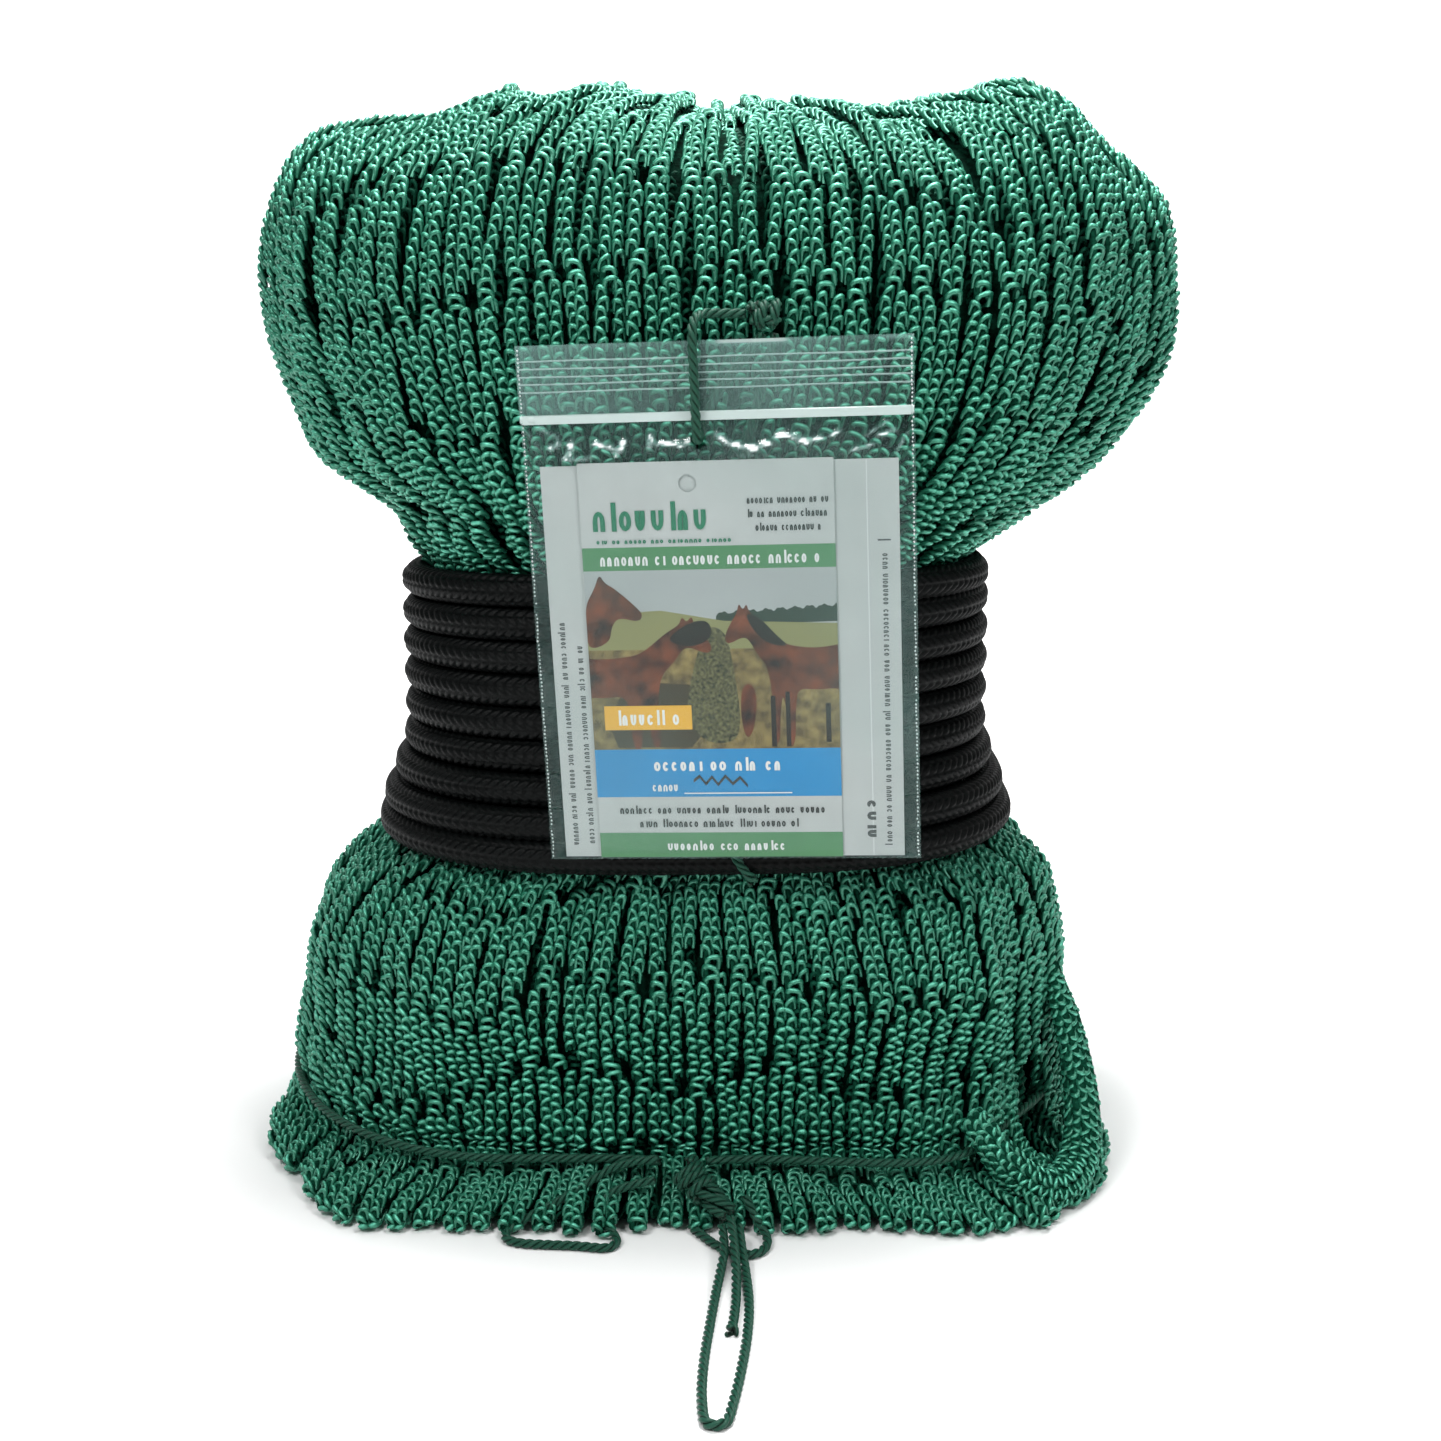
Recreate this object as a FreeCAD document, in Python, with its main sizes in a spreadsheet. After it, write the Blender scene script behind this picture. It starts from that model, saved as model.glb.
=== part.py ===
"""Packed hay net: a folded bundle of netting lashed with rope and twine, with a header pouch.

FreeCAD 1.1 macro. Millimetres, +Z up, the front faces -Y, the bundle stands on z = 0.
"""
import FreeCAD, Part
import Sketcher
import math
import os
from FreeCAD import Placement, Rotation, Vector

doc = FreeCAD.newDocument("HayNet")
sheet = doc.addObject("Spreadsheet::Sheet", "Sheet")

# --- driving dimensions ------------------------------------------------------------------------
DIMENSIONS = {
    # netting bundle
    "net_top": 441, "crown_width": 379, "crown_depth": 248.8, "crown_shift": 2,
    "waist_width": 222, "waist_depth": 170.8, "waist_shift": -8, "shoulder_flare": 13,
    "skirt_width": 336, "skirt_depth": 240.8, "foot_shift": -11.5,
    "hem_width": 361, "hem_depth": 254.8, "hem_level": 22, "bundle_centre": 10.4,
    # drawstring rope lashed round the waist
    "rope_size": 12.7, "rope_pitch": 13, "rope_turns": 9, "rope_foot": 137, "rope_gap": 0.3,
    # twine
    "twine_size": 3.5, "belt_front": 24, "belt_slope": 0.105,
    # rolled fold at the right-hand end of the foot
    "fold_radius": 15, "fold_roll": 11, "fold_level": 24, "fold_pocket": 43,
    # pouch and what it holds
    "pouch_width": 142, "pouch_height": 196, "pouch_deep": 3.6, "film": 0.4,
    "pouch_x": 3.8, "pouch_y": -116, "pouch_level": 244.5,
    "pouch_yaw": -6, "pouch_lean": 6, "pouch_roll": -1.8,
    "zip_drop": 26.5, "zip_width": 3, "hole_size": 6, "hole_x": -6.5, "hole_y": 63,
    "card_width": 93, "card_height": 152, "card_thick": 0.5, "card_x": -4.7,
    "leaflet_width": 58, "leaflet_height": 151, "leaflet_thick": 0.8,
    "leaflet_x": 36,
}
for row, (alias, value) in enumerate(DIMENSIONS.items(), start=1):
    sheet.set("A%d" % row, alias)
    sheet.set("B%d" % row, str(value))
    sheet.setAlias("B%d" % row, alias)
doc.recompute()

NODES = []


def size(alias):
    return float(sheet.get(alias))


def node(obj, label):
    """Name an object as one node of the part."""
    obj.Label = label
    NODES.append(obj)
    return obj


# --- ovals: rounded rectangles, the cross-section of every level of the bundle ------------------
def oval(body, name, level, width, depth, corner, shift, centre):
    """A sketch of four lines and four tangent arcs; every argument is an expression."""
    sketch = body.newObject("Sketcher::SketchObject", name)
    sketch.setExpression("Placement.Base.z", level)
    wide, deep = 100.0, 60.0
    spots = [(wide, deep), (-wide, deep), (-wide, -deep), (wide, -deep)]
    radius = 20.0
    for k, (x, y) in enumerate(spots):
        sx, sy = math.copysign(1, x), math.copysign(1, y)
        middle = Vector(x - sx * radius, y - sy * radius, 0)
        sketch.addGeometry(Part.ArcOfCircle(Part.Circle(middle, Vector(0, 0, 1), radius),
                                            k * math.pi / 2, (k + 1) * math.pi / 2), False)
    lines = [((wide - radius, deep), (-wide + radius, deep)),
             ((-wide, deep - radius), (-wide, -deep + radius)),
             ((-wide + radius, -deep), (wide - radius, -deep)),
             ((wide, -deep + radius), (wide, deep - radius))]
    for start, end in lines:
        sketch.addGeometry(Part.LineSegment(Vector(*start, 0), Vector(*end, 0)), False)
    for k in range(4):
        sketch.addConstraint(Sketcher.Constraint("Tangent", k, 2, 4 + k, 1))
        sketch.addConstraint(Sketcher.Constraint("Tangent", 4 + k, 2, (k + 1) % 4, 1))
    for k in (4, 6):
        sketch.addConstraint(Sketcher.Constraint("Horizontal", k))
    for k in (5, 7):
        sketch.addConstraint(Sketcher.Constraint("Vertical", k))
    for k in (1, 2, 3):
        sketch.addConstraint(Sketcher.Constraint("Equal", 0, k))
    drive(sketch, "corner", Sketcher.Constraint("Radius", 0, radius), corner)
    drive(sketch, "right", Sketcher.Constraint("DistanceX", -1, 1, 7, 1, wide),
          "(%s) / 2 + (%s)" % (width, shift))
    drive(sketch, "left", Sketcher.Constraint("DistanceX", 5, 1, -1, 1, wide),
          "(%s) / 2 - (%s)" % (width, shift))
    drive(sketch, "back", Sketcher.Constraint("DistanceY", -1, 1, 4, 1, deep),
          "(%s) / 2 + (%s)" % (depth, centre))
    drive(sketch, "front", Sketcher.Constraint("DistanceY", 6, 1, -1, 1, deep),
          "(%s) / 2 - (%s)" % (depth, centre))
    return sketch


def drive(sketch, name, constraint, expression):
    """Add a dimension to a sketch and bind it to the sheet."""
    index = sketch.addConstraint(constraint)
    sketch.renameConstraint(index, name)
    sketch.setExpression("Constraints." + name, expression)


def lobe(label, levels, ruled=False):
    """Loft one lobe of the bundle through ovals given as dicts of expressions."""
    body = doc.addObject("PartDesign::Body", label)
    ovals = [oval(body, "%s_oval_%d" % (label, k), **level) for k, level in enumerate(levels)]
    loft = body.newObject("PartDesign::AdditiveLoft", label + "_loft")
    loft.Profile = ovals[0]
    loft.Sections = ovals[1:]
    loft.Ruled = ruled
    return body


ROPE_TOP = "(Sheet.rope_foot + Sheet.rope_turns * Sheet.rope_pitch)"


def crown():
    """Upper lobe: the netting folded over at the top. Fractions of its height, width and depth."""
    profile = [(0.00, 0.612, 0.72, 0.0), (0.05, 0.690, 0.80, 0.1), (0.11, 0.765, 0.87, 0.3),
               (0.20, 0.860, 0.93, 0.6), (0.31, 0.930, 0.97, 0.9), (0.45, 0.985, 0.996, 1.0),
               (0.59, 1.000, 1.00, 1.0), (0.72, 0.988, 0.96, 1.0), (0.81, 0.955, 0.90, 1.0),
               (0.88, 0.905, 0.79, 1.0), (0.94, 0.825, 0.62, 1.0), (0.98, 0.71, 0.40, 1.0),
               (1.00, 0.60, 0.22, 1.0)]
    levels = []
    for up, wide, deep, lean in profile:
        levels.append(dict(
            level="%s + %g * (Sheet.net_top - %s)" % (ROPE_TOP, up, ROPE_TOP),
            width="Sheet.crown_width * %g" % wide,
            depth="Sheet.crown_depth * %g" % deep,
            corner="Sheet.crown_depth * %g" % (deep * 0.46),
            shift="Sheet.waist_shift + %g * (Sheet.crown_shift - Sheet.waist_shift)" % lean,
            centre="Sheet.bundle_centre"))
    node(lobe("net_crown", levels), "net_crown")


def waist_level(level, flare):
    """One level of the lashed waist, spread outwards by a flare."""
    return dict(level=level,
                width="Sheet.waist_width + 2 * %s" % flare,
                depth="Sheet.waist_depth + 2 * %s" % flare,
                corner="Sheet.waist_depth * 0.4 + %s" % flare,
                shift="Sheet.waist_shift", centre="Sheet.bundle_centre")


def waist():
    """Netting inside the rope: straight, then flaring under the last two turns."""
    levels = [waist_level("Sheet.rope_foot", "Sheet.shoulder_flare"),
              waist_level("Sheet.rope_foot + 2 * Sheet.rope_pitch", "0"),
              waist_level(ROPE_TOP, "0")]
    node(lobe("net_waist", levels, ruled=True), "net_waist")


def fold_pocket():
    """Round pocket at the right-hand front corner of the foot, where the rolled fold sits."""
    pocket = doc.addObject("Part::Cylinder", "fold_pocket")
    pocket.setExpression("Radius", "Sheet.fold_pocket / 2")
    pocket.Height = 60
    return pocket


FOLD_SPOT = Vector(58.5, -3, 24)
FOLD_AIM = Vector(0.78, -0.63, 0).normalize()


def foot():
    """Lower lobe: the skirt under the rope, and the hem that spreads on the floor."""
    skirt = [(0.00, 1.010, 0.925, 0.92), (0.14, 1.010, 0.925, 0.92), (0.26, 1.008, 0.93, 0.92),
             (0.42, 1.000, 0.975, 0.86), (0.56, 0.992, 0.985, 0.82), (0.70, 0.955, 0.955, 0.80),
             (0.83, 0.895, 0.905, 0.78), (0.92, 0.828, 0.855, 0.76)]
    rise = "(Sheet.rope_foot - Sheet.hem_level)"
    skirt_levels = []
    for up, wide, deep, corner in skirt:
        skirt_levels.append(dict(
            level="Sheet.hem_level + %g * %s" % (up, rise),
            width="Sheet.skirt_width * %g" % wide, depth="Sheet.skirt_depth * %g" % deep,
            corner="Sheet.skirt_depth * %g" % (deep * corner / 2),
            shift="Sheet.foot_shift", centre="Sheet.bundle_centre"))
    shoulder = waist_level("Sheet.rope_foot", "Sheet.shoulder_flare")
    skirt_levels.append(shoulder)
    hem = [(0.00, 0.985, 0.985, 0.66), (0.14, 1.00, 1.00, 0.66), (0.40, 1.00, 0.995, 0.68),
           (0.70, 0.975, 0.955, 0.76), (1.00, 0.942, 0.872, 0.92)]
    hem_levels = []
    for up, wide, deep, corner in hem:
        hem_levels.append(dict(
            level="Sheet.hem_level * %g" % up,
            width="Sheet.hem_width * %g" % wide, depth="Sheet.hem_depth * %g" % deep,
            corner="Sheet.hem_depth * %g" % (deep * corner / 2),
            shift="Sheet.foot_shift", centre="Sheet.bundle_centre"))
    pocket = fold_pocket()
    turn = Rotation(Vector(0, 0, 1), FOLD_AIM)
    pocket.Placement = Placement(FOLD_SPOT + FOLD_AIM * 76, turn)
    for label, levels in (("net_skirt", skirt_levels), ("net_hem", hem_levels)):
        cut = doc.addObject("Part::Cut", label)
        cut.Base = lobe(label + "_lobe", levels)
        cut.Tool = pocket
        node(cut, label)
    roll = doc.addObject("Part::Torus", "net_side_fold")
    roll.setExpression("Radius1", "Sheet.fold_radius")
    roll.setExpression("Radius2", "Sheet.fold_roll / 2")
    roll.Placement = Placement(FOLD_SPOT + FOLD_AIM * 91, turn)
    node(roll, "net_side_fold")


# --- drawstring rope ---------------------------------------------------------------------------
def rope_coil():
    """Nine turns side by side: a scalloped section carried round the waist."""
    body = doc.addObject("PartDesign::Body", "rope_coil")
    path = oval(body, "coil_path", level="0", width="Sheet.waist_width + 2 * Sheet.rope_gap",
                depth="Sheet.waist_depth + 2 * Sheet.rope_gap",
                corner="Sheet.waist_depth * 0.4 + Sheet.rope_gap",
                shift="Sheet.waist_shift", centre="Sheet.bundle_centre")
    pitch, foot_z, turns = size("rope_pitch"), size("rope_foot"), int(size("rope_turns"))
    inner = size("waist_width") / 2 + size("waist_shift") + size("rope_gap")
    half = size("rope_size") / 2

    def wall(z):
        return inner + size("shoulder_flare") * max(0.0, 1 - (z - foot_z) / (2 * pitch))

    def spot(x, z):
        return Vector(x, z, 0)

    section = body.newObject("Sketcher::SketchObject", "coil_section")
    section.Placement = Placement(Vector(0, size("bundle_centre"), 0),
                                  Rotation(Vector(1, 0, 0), 90))
    top = foot_z + turns * pitch
    edges = []
    for k in range(turns):
        low, high = foot_z + k * pitch, foot_z + (k + 1) * pitch
        middle = (low + high) / 2
        edges.append(Part.Arc(spot(wall(low) + half, low), spot(wall(middle) + 2 * half, middle),
                              spot(wall(high) + half, high)))
    corners = [(wall(top) + half, top), (wall(top), top), (wall(foot_z + 2 * pitch),
               foot_z + 2 * pitch), (wall(foot_z), foot_z), (wall(foot_z) + half, foot_z)]
    for start, end in zip(corners, corners[1:]):
        edges.append(Part.LineSegment(spot(*start), spot(*end)))
    section.addGeometry(edges, False)
    for k in range(len(edges)):
        section.addConstraint(Sketcher.Constraint("Block", k))
    pipe = body.newObject("PartDesign::AdditivePipe", "coil_pipe")
    pipe.Profile = section
    pipe.Spine = (path, ["Edge%d" % (k + 1) for k in range(8)])
    node(body, "rope_coil")


# --- twine -------------------------------------------------------------------------------------
def route_wire(points):
    """Straight runs joined by tangent arcs that take 0.45 of the shorter run beside each turn."""
    pts = [Vector(*p) for p in points]
    edges, start = [], pts[0]
    tightest = 1e9
    for before, corner, after in zip(pts, pts[1:], pts[2:]):
        back, ahead = (before - corner), (after - corner)
        reach = 0.45 * min(back.Length, ahead.Length)
        back.normalize()
        ahead.normalize()
        half_turn = (math.pi - back.getAngle(ahead)) / 2
        if half_turn < 0.004:
            continue
        radius = reach / math.tan(half_turn)
        tightest = min(tightest, radius)
        bisector = (back + ahead).normalize()
        middle = corner + bisector * (radius / math.cos(half_turn) - radius)
        first, last = corner + back * reach, corner + ahead * reach
        edges.append(Part.LineSegment(start, first).toShape())
        edges.append(Part.Arc(first, middle, last).toShape())
        start = last
    edges.append(Part.LineSegment(start, pts[-1]).toShape())
    return Part.Wire(edges), tightest


def cord(label, points):
    """A twine: a round section swept along its route."""
    wire, tightest = route_wire(points)
    route = doc.addObject("Part::Feature", label + "_route")
    route.Shape = wire
    ring = doc.addObject("Part::Circle", label + "_section")
    ring.setExpression("Radius", "Sheet.twine_size / 2")
    first = wire.Edges[0]
    ring.Placement = Placement(first.valueAt(first.FirstParameter),
                               Rotation(Vector(0, 0, 1), first.tangentAt(first.FirstParameter)))
    sweep = doc.addObject("Part::Sweep", label)
    sweep.Sections = [ring]
    sweep.Spine = (route, ["Edge%d" % (k + 1) for k in range(len(wire.Edges))])
    sweep.Solid = True
    sweep.Frenet = False
    node(sweep, label)
    print("%-14s length %6.1f  tightest bend %5.1f" % (label, wire.Length, tightest))


def belt_point(x, y, lift=0.0):
    """A point of the belt, whose plane rises towards the back."""
    front = -105.3
    return (x, y, size("belt_front") + size("belt_slope") * (y - front) + lift)


BELT = [belt_point(-3, -107.6), belt_point(8, -105.3), belt_point(42, -105.3),
        belt_point(78.8, -105.3), belt_point(116.4, -89.7), belt_point(145.2, -60.9),
        belt_point(160.8, -23.3), belt_point(160.8, 8), belt_point(160.8, 44.1),
        belt_point(145.2, 81.7), belt_point(116.4, 110.5), belt_point(78.8, 126.1),
        belt_point(33.5, 126.1), belt_point(-11.5, 126.1), belt_point(-56.5, 126.1),
        belt_point(-101.8, 126.1), belt_point(-139.4, 110.5), belt_point(-168.2, 81.7),
        belt_point(-183.8, 44.1), belt_point(-183.8, 8), belt_point(-183.8, -23.3),
        belt_point(-168.2, -60.9), belt_point(-139.4, -89.7), belt_point(-101.8, -105.3),
        belt_point(-65, -105.3), belt_point(-32, -105.3), belt_point(-21.5, -108)]

LOOP_LEFT = [(-22, -113, 27), (-36, -111, 25), (-48, -113.5, 18.5), (-59, -117.5, 12.5),
             (-72, -120.5, 6.5), (-81, -125, 2.6), (-80.5, -131, 1.95), (-74, -134.5, 1.95),
             (-62, -135.5, 1.95), (-50, -136.5, 1.95), (-40.5, -139, 1.95), (-36.5, -133, 1.95),
             (-40, -125.5, 3), (-45, -121.5, 7.8), (-44, -118.5, 13), (-35, -117.5, 18),
             (-23, -118, 20.5)]

LOOP_RIGHT = [(-9, -120.2, 2.1), (-4.5, -128, 1.95), (2.3, -138.3, 1.95), (11, -144.5, 1.95),
              (18, -142, 1.95), (21, -134, 1.95), (19.5, -126.5, 3.2), (15.6, -123, 8.5),
              (12, -119.5, 14.5)]

LOOP_LONG = [(3, -134, 9), (4.5, -144, 5.8), (2.5, -158, 2.6), (0.5, -176, 1.95),
             (-1.2, -196, 1.95), (-3, -217, 1.95), (-3.9, -238, 1.95), (-3.4, -252, 1.95),
             (-2.4, -260.5, 1.95), (4.4, -260.5, 1.95), (6.2, -250.5, 1.95), (9, -231, 1.95),
             (11.8, -206, 1.95), (13, -182, 1.95), (12, -160, 2.4), (10.5, -146, 5.9),
             (9.5, -135, 9.5)]

BOW_TAIL = [(6.3, -134.5, 12.6), (7.5, -146, 9.2), (8.3, -160, 5.4), (8.3, -174, 2.4),
            (7.6, -188, 1.95), (6.3, -202, 1.95)]

HANGER_LOOP = [(11.3, -120, 351), (3, -120, 351), (-4.5, -121.5, 351.2), (-7.3, -130.2, 348.8),
               (-7.6, -131.7, 340.8), (-6.9, -130.4, 329), (-6.5, -129.2, 319),
               (-6.2, -128.5, 311.8), (-5.9, -127.8, 306.2), (-5, -119, 307.2),
               (-2.5, -119.8, 316), (3.5, -120, 326), (11, -120.2, 335.5), (17.4, -120, 343.9)]

HANGER_TAIL = [(22, -116.7, 343.9), (19, -116.4, 332), (14.5, -114.8, 314), (10, -111.8, 293),
               (7, -108, 268), (5, -104, 243), (4, -102.5, 218), (3.5, -101.5, 193),
               (3.5, -101.2, 169), (5, -101, 153), (9.5, -101.2, 143), (15.5, -101.5, 136)]


def twines():
    cord("belt_twine", BELT)
    cord("bow_loop_left", LOOP_LEFT)
    cord("bow_loop_right", LOOP_RIGHT)
    cord("bow_loop_long", LOOP_LONG)
    cord("bow_tail", BOW_TAIL)
    cord("hanger_loop", HANGER_LOOP)
    cord("hanger_tail", HANGER_TAIL)


def knots():
    """The bow's long wrapped knot, and the hanger's round one."""
    high, low, thick = Vector(-13, -112.8, 25), Vector(7, -126, 8.2), 6.4
    barrel = doc.addObject("Part::Cylinder", "bow_knot_barrel")
    barrel.Radius = thick
    barrel.Height = (low - high).Length
    barrel.Placement = Placement(high, Rotation(Vector(0, 0, 1), low - high))
    ends = []
    for name, spot in (("high", high), ("low", low)):
        end = doc.addObject("Part::Sphere", "bow_knot_" + name)
        end.Radius = thick
        end.Placement = Placement(spot, Rotation())
        ends.append(end)
    knot = doc.addObject("Part::MultiFuse", "bow_knot")
    knot.Shapes = [barrel] + ends
    node(knot, "bow_knot")
    tie = doc.addObject("Part::Ellipsoid", "hanger_knot")
    tie.Radius1, tie.Radius2, tie.Radius3 = 5.5, 7.0, 5.5
    tie.Placement = Placement(Vector(18.5, -120, 351), Rotation())
    node(tie, "hanger_knot")


# --- pouch: x to the right, y up the pouch, z outwards from its back film -----------------------
POUCH_PLACE = ("placement(vector(Sheet.pouch_x; Sheet.pouch_y; Sheet.pouch_level); "
               "rotation(Sheet.pouch_yaw; Sheet.pouch_roll; 90 + Sheet.pouch_lean))")


def plate_sketch(body, name, level, left, right, bottom, top, holes=()):
    """A rectangle given by four expressions, with round holes (x, y, diameter)."""
    sketch = body.newObject("Sketcher::SketchObject", name)
    sketch.setExpression("Placement.Base.z", level)
    box = [(-10, -10), (10, -10), (10, 10), (-10, 10)]
    for start, end in zip(box, box[1:] + box[:1]):
        sketch.addGeometry(Part.LineSegment(Vector(*start, 0), Vector(*end, 0)), False)
    for k in range(4):
        sketch.addConstraint(Sketcher.Constraint("Coincident", k, 2, (k + 1) % 4, 1))
    for kind, k in (("Horizontal", 0), ("Vertical", 1), ("Horizontal", 2), ("Vertical", 3)):
        sketch.addConstraint(Sketcher.Constraint(kind, k))
    drive(sketch, "left", Sketcher.Constraint("DistanceX", -1, 1, 0, 1, -10), left)
    drive(sketch, "right", Sketcher.Constraint("DistanceX", -1, 1, 1, 1, 10), right)
    drive(sketch, "bottom", Sketcher.Constraint("DistanceY", -1, 1, 0, 1, -10), bottom)
    drive(sketch, "top", Sketcher.Constraint("DistanceY", -1, 1, 2, 1, 10), top)
    for k, (x, y, across) in enumerate(holes):
        circle = sketch.addGeometry(Part.Circle(Vector(0, 0, 0), Vector(0, 0, 1), 2), False)
        drive(sketch, "hole_x%d" % k, Sketcher.Constraint("DistanceX", -1, 1, circle, 3, 1), x)
        drive(sketch, "hole_y%d" % k, Sketcher.Constraint("DistanceY", -1, 1, circle, 3, 1), y)
        drive(sketch, "hole_d%d" % k, Sketcher.Constraint("Diameter", circle, 4), across)
    return sketch


def pad(body, sketch, thick, kind="PartDesign::Pad"):
    feature = body.newObject(kind, sketch.Name + "_solid")
    feature.Profile = sketch
    feature.setExpression("Length", thick)
    if kind.endswith("Pocket"):
        feature.Reversed = True
    return feature


def pouch_body(label):
    body = doc.addObject("PartDesign::Body", label)
    body.setExpression("Placement", POUCH_PLACE)
    return node(body, label)


def pouch():
    half_w, half_h = "Sheet.pouch_width / 2", "Sheet.pouch_height / 2"
    hang_hole = [("Sheet.hole_x", "Sheet.hole_y", "Sheet.hole_size")]
    back = pouch_body("pouch_back_film")
    pad(back, plate_sketch(back, "back_outline", "0", "-" + half_w, half_w, "-" + half_h, half_h,
                           hang_hole), "Sheet.film")
    front = pouch_body("pouch_front_film")
    pad(front, plate_sketch(front, "front_outline", "Sheet.film", "-" + half_w, half_w,
                            "-" + half_h, half_h, hang_hole), "Sheet.pouch_deep - Sheet.film")
    pad(front, plate_sketch(front, "front_room", "Sheet.film", "1 - " + half_w, half_w + " - 1",
                            "1 - " + half_h, half_h + " + 1"),
        "Sheet.pouch_deep - 2 * Sheet.film", "PartDesign::Pocket")
    for k, drop in enumerate((5.7, 8.5, 11.3, 13.8, 16.6)):
        rib = plate_sketch(front, "lip_rib_%d" % k, "Sheet.pouch_deep", "1 - " + half_w,
                           half_w + " - 1", "%s - %g" % (half_h, drop + 0.5),
                           "%s - %g" % (half_h, drop - 0.5))
        pad(front, rib, "0.3")
    zip_low = "%s - Sheet.zip_drop - Sheet.zip_width / 2" % half_h
    zip_high = "%s - Sheet.zip_drop + Sheet.zip_width / 2" % half_h
    for label, level, thick in (("zip_rib_strip", "Sheet.film", "1.1"),
                                ("zip_groove_strip", "Sheet.film + 1.4",
                                 "Sheet.pouch_deep - 2 * Sheet.film - 1.4")):
        strip = pouch_body(label)
        pad(strip, plate_sketch(strip, label + "_outline", level, "1.3 - " + half_w,
                                half_w + " - 1.3", zip_low, zip_high), thick)


def papers():
    floor = "1.4 - Sheet.pouch_height / 2"
    card = pouch_body("picture_card")
    pad(card, plate_sketch(card, "card_outline", "1.9", "Sheet.card_x - Sheet.card_width / 2",
                           "Sheet.card_x + Sheet.card_width / 2", floor,
                           floor + " + Sheet.card_height", [("Sheet.card_x - 6.5",
                           floor + " + Sheet.card_height - 8", "Sheet.hole_size + 0.5")]),
        "Sheet.card_thick")
    for label, side in (("leaflet_right", 1), ("leaflet_left", -1)):
        leaflet = pouch_body(label)
        middle = "%d * Sheet.leaflet_x" % side
        pad(leaflet, plate_sketch(leaflet, label + "_outline", "0.7",
                                  middle + " - Sheet.leaflet_width / 2",
                                  middle + " + Sheet.leaflet_width / 2", floor,
                                  floor + " + Sheet.leaflet_height"), "Sheet.leaflet_thick")


crown()
waist()
foot()
rope_coil()
twines()
knots()
pouch()
papers()
doc.recompute()

# --- checks and export -------------------------------------------------------------------------
os.makedirs("parts", exist_ok=True)
for obj in doc.Objects:
    if "Invalid" in obj.State or "Error" in obj.State:
        raise RuntimeError("%s: %s" % (obj.Label, obj.State))
for obj in NODES:
    shape = obj.Shape
    if shape.isNull() or not shape.isValid() or len(shape.Solids) != 1:
        raise RuntimeError("bad shape in " + obj.Label)
    shape.exportStep(os.path.join("parts", obj.Label + ".step"))
    box = shape.optimalBoundingBox(False)
    print("%-18s %9.1f mm3  x %7.1f %7.1f  y %7.1f %7.1f  z %6.1f %6.1f" % (
        obj.Label, shape.Volume, box.XMin, box.XMax, box.YMin, box.YMax, box.ZMin, box.ZMax))
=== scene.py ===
"""Packed hay net: knitted netting, braided rope, twisted twine and a clear pouch with its papers.

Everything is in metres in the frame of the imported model: +Z up, the front faces -Y.
"""
import math

import bpy
import numpy as np
from mathutils import Matrix, Vector
from mathutils.bvhtree import BVHTree


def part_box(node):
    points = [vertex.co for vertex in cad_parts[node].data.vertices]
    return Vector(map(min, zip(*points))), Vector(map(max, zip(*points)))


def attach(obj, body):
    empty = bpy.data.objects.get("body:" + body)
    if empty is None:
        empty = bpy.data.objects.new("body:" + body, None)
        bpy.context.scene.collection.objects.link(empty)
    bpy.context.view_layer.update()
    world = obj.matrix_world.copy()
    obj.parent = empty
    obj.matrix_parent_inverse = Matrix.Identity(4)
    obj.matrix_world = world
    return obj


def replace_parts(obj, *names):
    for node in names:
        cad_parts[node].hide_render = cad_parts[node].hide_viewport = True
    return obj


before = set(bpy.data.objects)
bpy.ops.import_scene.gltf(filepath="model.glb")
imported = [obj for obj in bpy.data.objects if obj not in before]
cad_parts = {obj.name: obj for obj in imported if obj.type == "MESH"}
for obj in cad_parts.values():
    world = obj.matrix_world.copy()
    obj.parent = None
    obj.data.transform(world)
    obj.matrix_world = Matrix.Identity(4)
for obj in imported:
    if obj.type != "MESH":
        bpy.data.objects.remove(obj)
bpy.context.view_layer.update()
MM = 0.001
UP = np.array([0.0, 0.0, 1.0])


# ---- Small tools
def smooth(x):
    """An even step from 0 to 1 while x goes from 0 to 1."""
    x = np.clip(x, 0.0, 1.0)
    return x * x * (3 - 2 * x)


def unit(a):
    """Vectors of length 1."""
    return a / np.maximum(np.linalg.norm(a, axis=-1, keepdims=True), 1e-12)


def wander(count, seed, scale=1.0):
    """A smooth random function of one or more variables: a sum of sines with random phases."""
    rng = np.random.default_rng(seed)
    waves = rng.normal(0, 1, (6, count)) * scale
    phases = rng.uniform(0, 2 * math.pi, 6)

    def value(*coords):
        total = 0.0
        for wave, phase in zip(waves, phases):
            total = total + np.sin(sum(w * c for w, c in zip(wave, coords)) + phase)
        return total / 2.5
    return value


def add_object(name, data):
    """A new object in the scene."""
    obj = bpy.data.objects.new(name, data)
    bpy.context.scene.collection.objects.link(obj)
    return obj


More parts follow.
